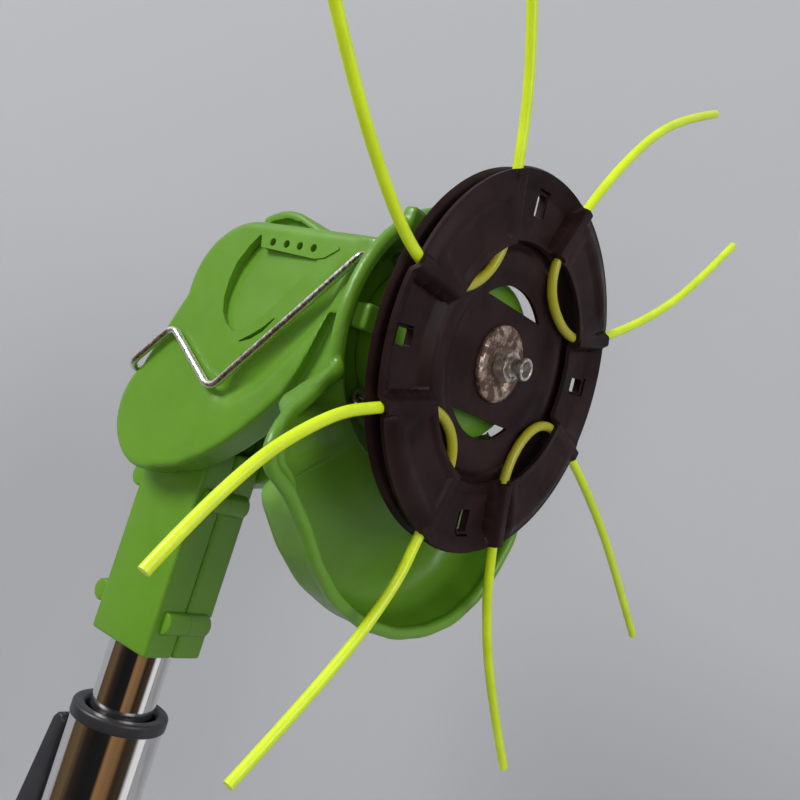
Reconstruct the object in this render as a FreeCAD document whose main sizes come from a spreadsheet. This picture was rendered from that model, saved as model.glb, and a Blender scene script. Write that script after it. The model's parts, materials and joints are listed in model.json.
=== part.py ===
"""Tilting string trimmer head on the top of its telescopic pole.

The pole stands along +Z and its cut lower end is at z = 0 on the origin.
The spindle points along +X, and the line disc turns about it. Y is the
width of the head. All lengths are in millimetres.
"""
import FreeCAD
import Part
import math
import os
import re

from FreeCAD import Vector

os.makedirs("parts", exist_ok=True)
doc = FreeCAD.newDocument("TrimmerHead")

SIZES = {
    # Places of the main axes
    "spindle_height": "235",
    "disc_reach": "107.6",
    "pivot_reach": "-3.7",
    "pivot_drop": "44.4",
    "neck_length": "79.1",
    "tube_reveal": "28",
    # Clearances
    "slip_gap": "0.05",
    "bearing_gap": "0.03",
    "slide_gap": "0.1",
    "free_gap": "0.4",
    # Telescopic pole
    "outer_tube_diameter": "32.6",
    "outer_tube_wall": "1.5",
    "sleeve_seat": "0.25",
    "inner_tube_diameter": "22.4",
    "inner_tube_wall": "1.4",
    "inner_tube_overlap": "38.5",
    "inner_tube_socket": "38.5",
    "sleeve_length": "40",
    "collar_diameter": "33.8",
    "collar_bore": "25",
    "collar_height": "4.5",
    "collar_rounding": "1.2",
    # Clamp lever of the pole
    "lever_pin_reach": "20.2",
    "lever_pin_drop": "9",
    "lever_pin_diameter": "3",
    "lever_head_radius": "3.2",
    "lever_length": "64",
    "lever_tip_reach": "34",
    "lever_tip_width": "8",
    "lever_tip_drop": "4",
    "lever_width": "18",
    "lever_web": "5.6",
    "lug_thickness": "2.6",
    "lug_reach": "17.5",
    "shoe_diameter": "5",
    # Neck that carries the head
    "neck_back": "-14.5",
    "neck_front": "16.5",
    "neck_width": "25",
    "neck_shoulder": "6",
    "neck_eye_radius": "14.5",
    "neck_wire_bore": "12",
    "neck_corner": "2",
    "boss_radius": "4",
    "boss_half_width": "9.5",
    "boss_front_reach": "16.6",
    "boss_back_reach": "19.6",
    "boss_back_drop": "0.6",
    "boss_upper_rise": "55.5",
    "boss_lower_rise": "12.5",
    "screw_diameter": "3",
    "screw_head_diameter": "5.4",
    "screw_head_depth": "2.4",
    "screw_drive_diameter": "1.8",
    "screw_cover": "2.5",
    "tube_pin_diameter": "4",
    "tube_pin_rise": "23.5",
    "tube_pin_cover": "2",
    "pivot_sleeve_diameter": "12",
    "pivot_bolt_diameter": "8",
    "pivot_bolt_cover": "4",
    "pivot_bolt_drive": "5",
    "pivot_head_diameter": "14",
    "pivot_head_depth": "5",
    "pivot_nut_flats": "13",
    "pivot_nut_height": "6",
    # Head housing
    "head_width": "50",
    "ear_gap": "26",
    "ear_radius": "20",
    "dome_radius": "25",
    "dome_back": "89.8",
    "dome_rise": "1",
    "dome_rounding": "2.5",
    "front_face": "37.5",
    "front_wall": "5.5",
    "shell_wall": "3",
    "side_step": "4",
    "rib_thickness": "2.4",
    "rib_front": "60",
    "rib_back": "97",
    "hood_width": "28",
    "hood_rounding": "2",
    "hood_pocket": "2",
    "vent_diameter": "2.6",
    # Motor
    "motor_diameter": "36",
    "motor_wall": "1.5",
    "motor_back": "100",
    "motor_front": "46",
    "motor_boss_length": "4",
    "motor_boss_wall": "2",
    "bearing_diameter": "13",
    "bearing_width": "4.5",
    "bearing_inset": "3",
    "magnet_thickness": "3",
    "magnet_length": "26",
    "magnet_front": "64",
    "magnet_spacing": "12",
    "rotor_gap": "0.8",
    "shaft_diameter": "6",
    "commutator_diameter": "12",
    "commutator_length": "9",
    "brush_back": "57",
    "brush_width": "4",
    "brush_length": "6",
    "brush_holder_width": "7",
    # Guard
    "flange_radius": "42",
    "flange_front": "25",
    "guard_wall": "2.5",
    "guard_neck_radius": "33",
    "nose_radius": "24",
    "nose_front": "6",
    "nose_hole_radius": "12.5",
    "nose_foot": "1.2",
    "nose_foot_radius": "31",
    "scoop_lip": "4",
    "scoop_back": "27",
    "scoop_rounding": "6",
    "guard_screw_circle": "27.5",
    "guard_screw_bite": "4",
    # Line disc
    "disc_radius": "55",
    "sheet": "1.2",
    "plate_floor": "0.8",
    "ring_lift": "4.9",
    "ring_inner_radius": "35.5",
    "land_half_angle": "18",
    "ramp_angle": "5.5",
    "land_turn": "-6.6",
    "tab_hole_radius": "46.3",
    "tab_hole_width": "4.5",
    "tab_hole_length": "6.5",
    "window_radius": "22.5",
    "window_chord": "16.5",
    "line_diameter": "3",
    "line_lift": "2.55",
    # Spindle nose
    "adapter_radius": "5.5",
    "adapter_back": "33",
    "shoulder_radius": "11",
    "shoulder_thickness": "3",
    "thread_diameter": "6.6",
    "thread_tip": "9",
    "thread_wall": "1.2",
    "thread_floor": "2",
    "washer_radius": "11.3",
    "washer_thickness": "1.8",
    "nut_flats": "8.6",
    "nut_height": "3.6",
    # Wire guard
    "wire_diameter": "2.6",
    "wire_bend": "5",
    "wire_tail_bend": "1.6",
    "wire_pivot_back": "39.7",
    "wire_pivot_rise": "18.9",
    "wire_offset": "2",
    "wire_tail": "3.5",
}

sheet = doc.addObject("Spreadsheet::Sheet", "Sizes")
for row, (alias, value) in enumerate(SIZES.items(), start=1):
    sheet.set(f"A{row}", alias)
    sheet.set(f"B{row}", value)
    sheet.setAlias(f"B{row}", alias)
doc.recompute()

TURN = {
    "x": FreeCAD.Rotation(Vector(0, 1, 0), 90),
    "y": FreeCAD.Rotation(Vector(1, 0, 0), -90),
    "z": FreeCAD.Rotation(),
}
NODES = []


def size(alias):
    """Value of one cell of the sheet."""
    return float(sheet.get(alias))


def bound(text):
    """Expression in which each size is read from the sheet."""
    return re.sub(r"[a-z_]{4,}", lambda word: "Sizes." + word.group(0), text)


def place(solid, start, axis):
    """Bind the start point of a primitive and turn it to its axis."""
    solid.Placement = FreeCAD.Placement(Vector(), TURN[axis])
    for letter, text in zip("xyz", start):
        solid.setExpression(f"Placement.Base.{letter}", bound(text))
    return solid


def cylinder(name, radius, length, start, axis):
    """Cylinder whose sizes and start are expressions of the sheet."""
    solid = doc.addObject("Part::Cylinder", name)
    solid.setExpression("Radius", bound(radius))
    solid.setExpression("Height", bound(length))
    return place(solid, start, axis)


def hexagon(name, radius, length, start, axis):
    """Six-sided prism whose sizes are expressions of the sheet."""
    solid = doc.addObject("Part::Prism", name)
    solid.Polygon = 6
    solid.setExpression("Circumradius", bound(radius))
    solid.setExpression("Height", bound(length))
    return place(solid, start, axis)


def fuse(name, *solids):
    """Union of document objects."""
    union = doc.addObject("Part::MultiFuse", name)
    union.Shapes = list(solids)
    union.Refine = True
    return union


def cut(name, base, *tools):
    """Base with each tool taken away."""
    tool = tools[0] if len(tools) == 1 else fuse(name + "_tools", *tools)
    result = doc.addObject("Part::Cut", name)
    result.Base = base
    result.Tool = tool
    return result


def carry(name, shape):
    """Document object that holds a shape made from the sheet's values."""
    feature = doc.addObject("Part::Feature", name)
    feature.Shape = shape
    return feature


def node(name, solid):
    """Name the finished piece."""
    solid.Label = name
    NODES.append(solid)
    return solid


def rod(radius, start, end):
    """Cylinder between two points."""
    run = end - start
    return Part.makeCylinder(radius, run.Length, start, run)


def slab(low, high):
    """Box between two corners."""
    return Part.makeBox(high.x - low.x, high.y - low.y, high.z - low.z, low)


def rounded(points, radii, closed):
    """Wire of straight runs joined by tangent arcs."""
    count = len(points)
    turns = range(count) if closed else range(1, count - 1)
    ends = {}
    for index in turns:
        corner = points[index]
        back = points[index - 1] - corner
        ahead = points[(index + 1) % count] - corner
        half = back.getAngle(ahead) / 2
        reach = radii[index] / math.tan(half)
        into = corner + back.normalize() * reach
        out = corner + ahead.normalize() * reach
        middle = (back + ahead).normalize()
        apex = corner + middle * (radii[index] / math.sin(half) - radii[index])
        ends[index] = (into, apex, out)
    edges = []
    for index in range(count if closed else count - 1):
        after = (index + 1) % count
        start = ends[index][2] if index in ends else points[index]
        stop = ends[after][0] if after in ends else points[after]
        if (stop - start).Length > 0.001:
            edges.append(Part.LineSegment(start, stop).toShape())
        if after in ends:
            edges.append(Part.Arc(*ends[after]).toShape())
    return Part.Wire(edges)


def soft_radii(points, smallest):
    """Largest radii that the runs beside each point allow."""
    radii = [smallest] * len(points)
    for index in range(1, len(points) - 1):
        back = points[index - 1] - points[index]
        ahead = points[index + 1] - points[index]
        turn = math.pi - back.getAngle(ahead)
        radii[index] = 0.45 * min(back.Length, ahead.Length) / math.tan(turn / 2)
    return radii


def tube_along(path, radius):
    """Round rod swept along a wire, checked against section times length."""
    start = path.Edges[0].valueAt(path.Edges[0].FirstParameter)
    heading = path.Edges[0].tangentAt(path.Edges[0].FirstParameter)
    section = Part.Wire([Part.makeCircle(radius, start, heading)])
    swept = path.makePipeShell([section], True, True)
    expected = math.pi * radius ** 2 * path.Length
    if abs(swept.Volume / expected - 1) > 0.02:
        raise ValueError("swept volume is wrong")
    return swept


REACH = size("disc_reach")
SPINDLE = size("spindle_height")
PIVOT = Vector(size("pivot_reach"), 0, SPINDLE - size("pivot_drop"))
NECK_LOW = PIVOT.z - size("neck_length")
TUBE_TOP = NECK_LOW - size("tube_reveal")
LEVER_PIN = Vector(-size("lever_pin_reach"), 0, TUBE_TOP - size("lever_pin_drop"))
AXIS = Vector(1, 0, 0)
ACROSS = Vector(0, 1, 0)


def head_point(back, side, rise):
    """Point measured from the centre of the line disc."""
    return Vector(REACH + back, side, SPINDLE + rise)


def turned(profile, name):
    """Solid turned about the spindle from a profile of (back, radius) points."""
    corners = [head_point(back, 0, radius) for back, radius in profile]
    face = Part.Face(Part.makePolygon(corners + corners[:1]))
    solid = face.revolve(head_point(0, 0, 0), AXIS, 360)
    return carry(name, solid)


# Heights along the pole, each counted down from the one above it

pivot_height = "spindle_height - pivot_drop"
neck_low = pivot_height + " - neck_length"
tube_top = neck_low + " - tube_reveal"
lever_pin_height = tube_top + " - lever_pin_drop"
tube_pin_height = neck_low + " + tube_pin_rise"

# Telescopic pole

tube_radius = "outer_tube_diameter / 2"
tube_bore = "outer_tube_diameter / 2 - outer_tube_wall"
sleeve_bore = tube_bore + " - sleeve_seat"
shoe_hole = cylinder("shoe_hole", "shoe_diameter / 2 + slip_gap", "outer_tube_diameter",
                     ("-outer_tube_diameter", "0", lever_pin_height), "x")
node("outer_tube", cut(
    "outer_tube",
    cylinder("outer_tube_body", tube_radius, tube_top, ("0", "0", "0"), "z"),
    cylinder("outer_tube_bore", tube_bore, tube_top + " - sleeve_length",
             ("0", "0", "0"), "z"),
    cylinder("sleeve_seat_bore", sleeve_bore, tube_top, ("0", "0", "0"), "z"),
    shoe_hole))

sleeve_start = ("0", "0", tube_top + " - sleeve_length")
node("guide_sleeve", cut(
    "guide_sleeve",
    cylinder("sleeve_body", sleeve_bore + " - slip_gap", "sleeve_length", sleeve_start, "z"),
    cylinder("sleeve_bore", "inner_tube_diameter / 2 + slide_gap", "sleeve_length",
             sleeve_start, "z"),
    shoe_hole))

node("clamp_shoe", cylinder(
    "clamp_shoe", "shoe_diameter / 2",
    "lever_pin_reach - lever_head_radius - inner_tube_diameter / 2 - free_gap - slide_gap",
    ("-lever_pin_reach + lever_head_radius + free_gap", "0", lever_pin_height), "x"))


def pole_collar():
    """Ring on the tube with two lugs that carry the lever pin."""
    low = TUBE_TOP
    high = low + size("collar_height")
    ring = rod(size("collar_diameter") / 2, Vector(0, 0, low), Vector(0, 0, high))
    ring = ring.makeFillet(size("collar_rounding"),
                           [edge for edge in ring.Edges if edge.CenterOfMass.z > high - 0.01])
    eye = size("lever_head_radius") - size("slip_gap")
    inner = size("lever_web") / 2 + size("free_gap")
    outer = inner + size("lug_thickness")
    seat = -size("collar_bore") / 2
    lugs = []
    for side in (inner, -outer):
        stand = Vector(0, side, 0)
        across = Vector(0, outer - inner, 0)
        lugs.append(rod(eye, LEVER_PIN + stand, LEVER_PIN + stand + across))
        lugs.append(slab(LEVER_PIN + stand + Vector(0, 0, -eye),
                         Vector(seat, side + across.y, LEVER_PIN.z + eye)))
        lugs.append(slab(Vector(-size("lug_reach"), side, LEVER_PIN.z),
                         Vector(seat, side + across.y, low)))
    lugs = [lug.cut(rod(size("outer_tube_diameter") / 2 + size("slip_gap"),
                        Vector(0, 0, 0), Vector(0, 0, low))) for lug in lugs]
    root = slab(Vector(-size("lug_reach"), -outer, low),
                Vector(seat, outer, low + size("lug_thickness")))
    collar = ring.multiFuse(lugs + [root])
    collar = collar.cut(rod(size("collar_bore") / 2, Vector(0, 0, 0), Vector(0, 0, high)))
    hole = size("lever_pin_diameter") / 2 + size("slip_gap")
    half = Vector(0, size("lever_width"), 0)
    return collar.cut(rod(hole, LEVER_PIN - half, LEVER_PIN + half)).removeSplitter()


node("pole_collar", carry("pole_collar", pole_collar()))

node("lever_pin", cylinder(
    "lever_pin", "lever_pin_diameter / 2", "lever_width - 2 * free_gap",
    ("-lever_pin_reach", "free_gap - lever_width / 2", lever_pin_height), "y"))


def clamp_lever():
    """Flip lever: a web and two cheeks round the lugs, widening to its tip."""
    head = size("lever_head_radius")
    width = size("lever_width")
    low = LEVER_PIN.z - size("lever_length")
    tip = -size("lever_tip_reach")
    tip_width = size("lever_tip_width")
    inner = LEVER_PIN.x + head
    corners = [Vector(inner, 0, LEVER_PIN.z), Vector(LEVER_PIN.x - head, 0, LEVER_PIN.z),
               Vector(tip, 0, low), Vector(tip + 0.4 * tip_width, 0, low - size("lever_tip_drop")),
               Vector(tip + tip_width, 0, low),
               Vector(inner, 0, LEVER_PIN.z - 0.6 * size("lever_length"))]
    blade = Part.Face(Part.makePolygon(corners + corners[:1]))
    blade = blade.extrude(Vector(0, width, 0))
    blade.translate(Vector(0, -width / 2, 0))
    half = Vector(0, width / 2, 0)
    blade = blade.fuse(rod(head, LEVER_PIN - half, LEVER_PIN + half)).removeSplitter()
    web = size("lever_web") / 2
    cheek = web + size("lug_thickness") + 2 * size("free_gap")
    for side in (web, -cheek):
        low_corner = Vector(LEVER_PIN.x - 4 * head, side, LEVER_PIN.z - 4 * head)
        blade = blade.cut(slab(low_corner, Vector(0, side + cheek - web,
                                                  LEVER_PIN.z + 2 * head)))
    hole = size("lever_pin_diameter") / 2 + size("slide_gap")
    return blade.cut(rod(hole, LEVER_PIN - half, LEVER_PIN + half))


node("clamp_lever", carry("clamp_lever", clamp_lever()))

# Neck on the sliding tube

inner_start = ("0", "0", tube_top + " - inner_tube_overlap")
inner_length = "tube_reveal + inner_tube_overlap + inner_tube_socket"
tube_pin_hole = cylinder("tube_pin_hole", "tube_pin_diameter / 2 + slip_gap", "neck_width",
                         ("0", "tube_pin_cover - neck_width / 2", tube_pin_height), "y")
node("inner_tube", cut(
    "inner_tube",
    cylinder("inner_tube_body", "inner_tube_diameter / 2", inner_length, inner_start, "z"),
    cylinder("inner_tube_bore", "inner_tube_diameter / 2 - inner_tube_wall", inner_length,
             inner_start, "z"),
    tube_pin_hole))

node("tube_pin", cylinder("tube_pin", "tube_pin_diameter / 2",
                          "neck_width - tube_pin_cover - free_gap",
                          ("0", "tube_pin_cover - neck_width / 2", tube_pin_height), "y"))

node("pivot_sleeve", cut(
    "pivot_sleeve",
    cylinder("pivot_sleeve_body", "pivot_sleeve_diameter / 2", "neck_width",
             ("pivot_reach", "-neck_width / 2", pivot_height), "y"),
    cylinder("pivot_sleeve_bore", "pivot_bolt_diameter / 2 + bearing_gap", "neck_width",
             ("pivot_reach", "-neck_width / 2", pivot_height), "y")))


def boss_centres():
    """Places of the four screw bosses on the edges of the neck."""
    for rise in (size("boss_upper_rise"), size("boss_lower_rise")):
        yield Vector(size("boss_front_reach"), 0, NECK_LOW + rise)
        yield Vector(-size("boss_back_reach"), 0, NECK_LOW + rise - size("boss_back_drop"))


def neck_shell(side):
    """One half of the neck, split on its middle plane."""
    half = size("neck_width") / 2
    low = min(0, side * half)
    flat = Vector(0, low, 0)
    across = Vector(0, half, 0)
    shoulder = PIVOT.z - size("neck_shoulder")
    body = slab(Vector(size("neck_back"), low, NECK_LOW),
                Vector(size("neck_front"), low + half, shoulder))
    outer_edges = [edge for edge in body.Edges
                   if abs(edge.CenterOfMass.y - side * half) < 0.01
                   and abs(edge.Vertexes[0].Z - edge.Vertexes[-1].Z) > 1]
    body = body.makeFillet(size("neck_corner"), outer_edges)
    body = body.fuse(rod(size("neck_eye_radius"), PIVOT + flat, PIVOT + flat + across))
    radius = size("boss_radius")
    reach = size("boss_half_width")
    for centre in boss_centres():
        start = centre + Vector(0, min(0, side * reach), 0)
        end = start + Vector(0, reach, 0)
        web = slab(Vector(min(centre.x, 0), start.y, centre.z - radius),
                   Vector(max(centre.x, 0), end.y, centre.z + radius))
        body = body.fuse(rod(radius, start, end)).fuse(web)
    gap = size("slip_gap")
    tube = size("inner_tube_diameter") / 2 + gap
    socket = NECK_LOW + size("inner_tube_socket") + gap
    body = body.cut(rod(tube, Vector(0, 0, TUBE_TOP), Vector(0, 0, socket)))
    body = body.cut(rod(size("neck_wire_bore") / 2, Vector(0, 0, TUBE_TOP),
                        PIVOT - Vector(PIVOT.x, 0, size("pivot_sleeve_diameter"))))
    body = body.cut(rod(size("pivot_sleeve_diameter") / 2, PIVOT - across, PIVOT + across))
    pin = Vector(0, size("tube_pin_cover") - half, NECK_LOW + size("tube_pin_rise"))
    body = body.cut(rod(size("tube_pin_diameter") / 2 + gap, pin, pin + 2 * across))
    head = size("screw_head_diameter") / 2 + gap
    for centre in boss_centres():
        tip = centre + Vector(0, size("screw_cover") - reach, 0)
        seat = centre + Vector(0, reach - size("screw_head_depth"), 0)
        body = body.cut(rod(size("screw_diameter") / 2, tip, seat))
        body = body.cut(rod(head, seat, centre + across))
    return body.removeSplitter()


node("neck_shell_near", carry("neck_shell_near", neck_shell(-1)))
node("neck_shell_far", carry("neck_shell_far", neck_shell(1)))


def screw(tip, heading, length):
    """Pan-head screw from its tip to the top of its head."""
    shank = rod(size("screw_diameter") / 2, tip, tip + heading * length)
    crown = tip + heading * length
    depth = size("screw_head_depth")
    head = rod(size("screw_head_diameter") / 2, crown,
               crown + heading * (depth - size("slip_gap")))
    drive = rod(size("screw_drive_diameter") / 2, crown + heading * depth / 2,
                crown + heading * 2 * depth)
    return shank.fuse(head).cut(drive)


def neck_screws():
    """Screws that hold the neck halves together, heads on the far side."""
    reach = size("boss_half_width")
    length = 2 * reach - size("screw_cover") - size("screw_head_depth")
    return Part.makeCompound(
        [screw(centre + Vector(0, size("screw_cover") - reach, 0), ACROSS, length)
         for centre in boss_centres()])


node("neck_screws", carry("neck_screws", neck_screws()))

# Head housing

HALF_HEAD = size("head_width") / 2
HALF_SLOT = size("ear_gap") / 2
DOME = head_point(-size("dome_back"), 0, size("dome_rise"))
# Side view places as (back, rise) from the centre of the line disc
HOUSING_SCREWS = ((-54, 21.8), (-104.5, 14.5), (-104.5, -12.5))
HOUSING_SCREW_BOSS = 4
HOUSING_SCREW_COVER = 8
HOUSING_SCREW_SEAT = 6
VENT_BACKS = (-79.8, -73.4, -67.4, -61.3)
VENT_RISE = 19
PADDLE = ((-91.5, -58.8), (-81.6, -52.9), (-74.3, -47.4), (-67.7, -41.3), (-60.9, -33.9))
CREASE = ((-55.8, -27.4), (-51.7, -17), (-49, -3.9), (-45.5, 12.3), (-41.5, 15.8))
HOOD_ARCH = ((-101, 31), (-90, 33.5), (-71, 29))
HOOD_POCKET = ((-97, 26.5), (-97, 29), (-90, 30.5), (-76, 27.5), (-76, 26.5))
GUARD_SCREW_TURN = 40
# Directions of the two tangents that leave the ear, from the front upwards
EAR_TANGENTS = (-62, 135)


def plate(points, low, high):
    """Prism across the head from a side view outline of (back, rise) points."""
    corners = [head_point(back, low, rise) for back, rise in points]
    face = Part.Face(Part.makePolygon(corners + corners[:1]))
    return face.extrude(Vector(0, high - low, 0))


def arm_outline():
    """Side view of the arm from the pivot ear up to the housing's side."""
    ear = size("ear_radius")
    centre = PIVOT - head_point(0, 0, 0)
    below, above = [(centre.x + ear * math.cos(math.radians(angle)),
                     centre.z + ear * math.sin(math.radians(angle)))
                    for angle in EAR_TANGENTS]
    top = size("dome_rise")
    back = -size("dome_back") - size("dome_radius") + size("dome_rounding")
    return [below, *PADDLE, *CREASE, (CREASE[-1][0], top), (back, top), above]


def side_recess(shift):
    """Side view of the part of the side that lies below the crease."""
    front = -size("front_face") + 2 * size("front_wall")
    crease = [(back - shift, rise + shift / 2) for back, rise in CREASE]
    return crease + [(front, crease[-1][1]), (front, crease[0][1])]


def hood():
    """Raised block on top of the housing, arched along its length."""
    start, middle, end = [head_point(back, 0, rise) for back, rise in HOOD_ARCH]
    foot = SPINDLE + size("dome_rise")
    arch = Part.Wire([Part.Arc(start, middle, end).toShape(),
                      Part.makePolygon([end, Vector(end.x, 0, foot),
                                        Vector(start.x, 0, foot), start])])
    half = size("hood_width") / 2
    block = Part.Face(arch).extrude(ACROSS * half)
    edges = [edge for edge in block.Edges if edge.CenterOfMass.y > half - 0.01
             and edge.CenterOfMass.z > end.z]
    block = block.makeFillet(size("hood_rounding"), edges)
    return block.cut(plate(HOOD_POCKET, half - size("hood_pocket"), half + 1))


def housing(side):
    """One half of the housing: dome, motor barrel, hood, arm and ear."""
    front = -size("front_face")
    dome = rod(size("dome_radius"), DOME, DOME + ACROSS * HALF_HEAD)
    barrel = slab(DOME - Vector(0, 0, size("dome_radius")),
                  Vector(REACH + front, HALF_HEAD, DOME.z + size("dome_radius")))
    body = dome.fuse(barrel).removeSplitter()
    edges = [edge for edge in body.Edges
             if min(v.Y for v in edge.Vertexes) > HALF_HEAD - 0.01
             and edge.CenterOfMass.x < REACH + front - 1
             and edge.CenterOfMass.z > SPINDLE - size("dome_radius") / 2]
    body = body.makeFillet(size("dome_rounding"), edges)
    body = body.fuse(hood())
    body = body.fuse(rod(size("ear_radius"), PIVOT + ACROSS * HALF_SLOT,
                         PIVOT + ACROSS * HALF_HEAD))
    body = body.fuse(plate(arm_outline(), HALF_SLOT, HALF_HEAD)).removeSplitter()
    body = body.cut(plate(side_recess(0), HALF_HEAD - size("side_step"), 2 * HALF_HEAD))
    body = body.cut(housing_cavity())
    pocket = size("neck_eye_radius") + 2 * size("free_gap")
    body = body.cut(rod(pocket, PIVOT, PIVOT + ACROSS * HALF_SLOT))
    shaft_way = size("adapter_radius") + size("shell_wall") - size("free_gap")
    body = body.cut(rod(shaft_way, head_point(front - 2 * size("front_wall"), 0, 0),
                        head_point(0, 0, 0)))
    body = drilled(body, side)
    if side < 0:
        body = body.mirror(Vector(0, 0, 0), ACROSS)
    return body


def housing_cavity():
    """Space inside the shell, less the ribs that hold the motor."""
    wall = size("shell_wall")
    depth = HALF_HEAD - wall
    inside_front = -size("front_face") - size("front_wall")
    inner = size("dome_radius") - wall
    space = rod(inner, DOME, DOME + ACROSS * depth)
    space = space.fuse(slab(DOME - Vector(0, 0, inner),
                            Vector(REACH + inside_front, depth, DOME.z + inner)))
    keep = size("neck_eye_radius") + 2 * size("free_gap") + wall
    space = space.cut(rod(keep, PIVOT, PIVOT + ACROSS * (HALF_SLOT + wall)))
    space = space.cut(plate(side_recess(wall), depth - size("side_step"), 2 * HALF_HEAD))
    for back in (-size("rib_front"), -size("rib_back")):
        space = space.cut(slab(head_point(back, 0, -2 * HALF_HEAD),
                               head_point(back + size("rib_thickness"), 2 * HALF_HEAD,
                                          2 * HALF_HEAD)))
    for back, rise in HOUSING_SCREWS:
        start = head_point(back, 0, rise)
        space = space.cut(rod(HOUSING_SCREW_BOSS, start, start + ACROSS * depth))
    motor = rod(size("motor_diameter") / 2 + size("slip_gap"),
                head_point(-size("motor_back"), 0, 0), head_point(inside_front, 0, 0))
    return space.fuse(motor)


def drilled(body, side):
    """Screw holes, vents and the hole for the wire guard."""
    shank = size("screw_diameter") / 2
    gap = size("slip_gap")
    for back, rise in HOUSING_SCREWS:
        start = head_point(back, 0, rise)
        depth = HALF_HEAD if side > 0 else HALF_HEAD - HOUSING_SCREW_COVER
        body = body.cut(rod(shank, start, start + ACROSS * depth))
        if side > 0:
            seat = start + ACROSS * (HALF_HEAD - HOUSING_SCREW_SEAT)
            body = body.cut(rod(size("screw_head_diameter") / 2 + gap, seat,
                                start + ACROSS * HALF_HEAD))
    for back in VENT_BACKS:
        start = head_point(back, HALF_HEAD - 2 * size("shell_wall"), VENT_RISE)
        body = body.cut(rod(size("vent_diameter") / 2, start, start + ACROSS * HALF_HEAD))
    pivot = head_point(-size("wire_pivot_back"), 0, size("wire_pivot_rise"))
    start = pivot + ACROSS * (HALF_HEAD - size("wire_tail") - gap)
    body = body.cut(rod(size("wire_diameter") / 2 + size("slide_gap"), start,
                        pivot + ACROSS * HALF_HEAD))
    for place_of in guard_screw_places():
        if place_of.y > 0:
            body = body.cut(rod(shank, place_of - AXIS * size("guard_screw_bite"),
                                place_of + AXIS))
    bolt = size("pivot_bolt_diameter") / 2 + gap
    if side > 0:
        body = body.cut(rod(bolt, PIVOT, PIVOT + ACROSS * HALF_HEAD))
        seat = PIVOT + ACROSS * (HALF_HEAD - size("pivot_head_depth"))
        return body.cut(rod(size("pivot_head_diameter") / 2 + gap, seat,
                            PIVOT + ACROSS * HALF_HEAD))
    body = body.cut(rod(bolt, PIVOT,
                        PIVOT + ACROSS * (HALF_HEAD - size("pivot_bolt_cover"))))
    nut = pivot_nut_blank(gap)
    return body.cut(nut.mirror(Vector(0, 0, 0), ACROSS))


def guard_screw_places():
    """Screws that hold the guard on the front face of the housing."""
    for quarter in (0, 180):
        for turn in (-GUARD_SCREW_TURN, GUARD_SCREW_TURN):
            angle = math.radians(quarter + turn)
            circle = size("guard_screw_circle")
            yield head_point(-size("front_face"), circle * math.sin(angle),
                             circle * math.cos(angle))


def pivot_nut_blank(gap):
    """Hexagonal nut in the near ear."""
    height = size("pivot_nut_height")
    flat = size("pivot_nut_flats") / 2 + gap
    nut = Part.makeCylinder(flat / math.cos(math.pi / 6), height,
                            PIVOT - ACROSS * (HALF_SLOT + height), ACROSS)
    flats = slab(PIVOT + Vector(-flat, -2 * HALF_HEAD, -2 * flat),
                 PIVOT + Vector(flat, 0, 2 * flat))
    for angle in (0, 60, 120):
        turned_flats = flats.copy()
        turned_flats.rotate(PIVOT, ACROSS, angle)
        nut = nut.common(turned_flats)
    return nut


node("housing_near", carry("housing_near", housing(-1)))
node("housing_far", carry("housing_far", housing(1)))


def housing_screws():
    """Screws across the housing, heads sunk in the far side."""
    length = 2 * HALF_HEAD - HOUSING_SCREW_COVER - HOUSING_SCREW_SEAT
    return Part.makeCompound(
        [screw(head_point(back, HOUSING_SCREW_COVER - HALF_HEAD, rise), ACROSS, length)
         for back, rise in HOUSING_SCREWS])


node("housing_screws", carry("housing_screws", housing_screws()))


def pivot_bolt():
    """Bolt from the far ear through the neck into the near ear."""
    radius = size("pivot_bolt_diameter") / 2
    depth = size("pivot_head_depth")
    seat = PIVOT + ACROSS * (HALF_HEAD - depth)
    tip = PIVOT - ACROSS * (HALF_HEAD - size("pivot_bolt_cover") - size("free_gap"))
    head = rod(size("pivot_head_diameter") / 2, seat,
               seat + ACROSS * (depth - size("free_gap")))
    driver = rod(size("pivot_bolt_drive") / 2, seat + ACROSS * depth / 3,
                 seat + ACROSS * 2 * depth)
    return rod(radius, tip, seat).fuse(head).cut(driver)


node("pivot_bolt", carry("pivot_bolt", pivot_bolt()))
node("pivot_nut", carry("pivot_nut", pivot_nut_blank(0).cut(
    rod(size("pivot_bolt_diameter") / 2 + size("slip_gap"),
        PIVOT - ACROSS * 2 * HALF_HEAD, PIVOT))))

# Motor in the housing

motor_back = size("motor_back")
motor_front = size("motor_front")
motor_radius = size("motor_diameter") / 2
motor_inside = motor_radius - size("motor_wall")
bearing_radius = size("bearing_diameter") / 2
bearing_width = size("bearing_width")
shaft_radius = size("shaft_diameter") / 2
slip = size("slip_gap")
bearing_gap = size("bearing_gap")
motor_boss = bearing_radius + size("motor_boss_wall")
boss_back = motor_back + size("motor_boss_length")

node("motor_can", turned(
    [(-boss_back, bearing_radius + slip), (-boss_back, motor_boss),
     (-motor_back, motor_boss), (-motor_back, motor_radius),
     (-motor_front, motor_radius), (-motor_front, motor_inside),
     (size("motor_wall") - motor_back, motor_inside),
     (size("motor_wall") - motor_back, shaft_radius + 1),
     (bearing_width - boss_back, shaft_radius + 1),
     (bearing_width - boss_back, bearing_radius + slip)], "motor_can"))

cap_front = size("front_face") + size("front_wall")
cap_back = motor_front + size("bearing_inset")
node("motor_end_cap", turned(
    [(-cap_back, motor_inside - slip), (-motor_front, motor_inside - slip),
     (-motor_front, motor_radius), (-cap_front, motor_radius),
     (-cap_front, shaft_radius + 1), (bearing_width - cap_back, shaft_radius + 1),
     (bearing_width - cap_back, bearing_radius + slip),
     (-cap_back, bearing_radius + slip)], "motor_end_cap"))


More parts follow.
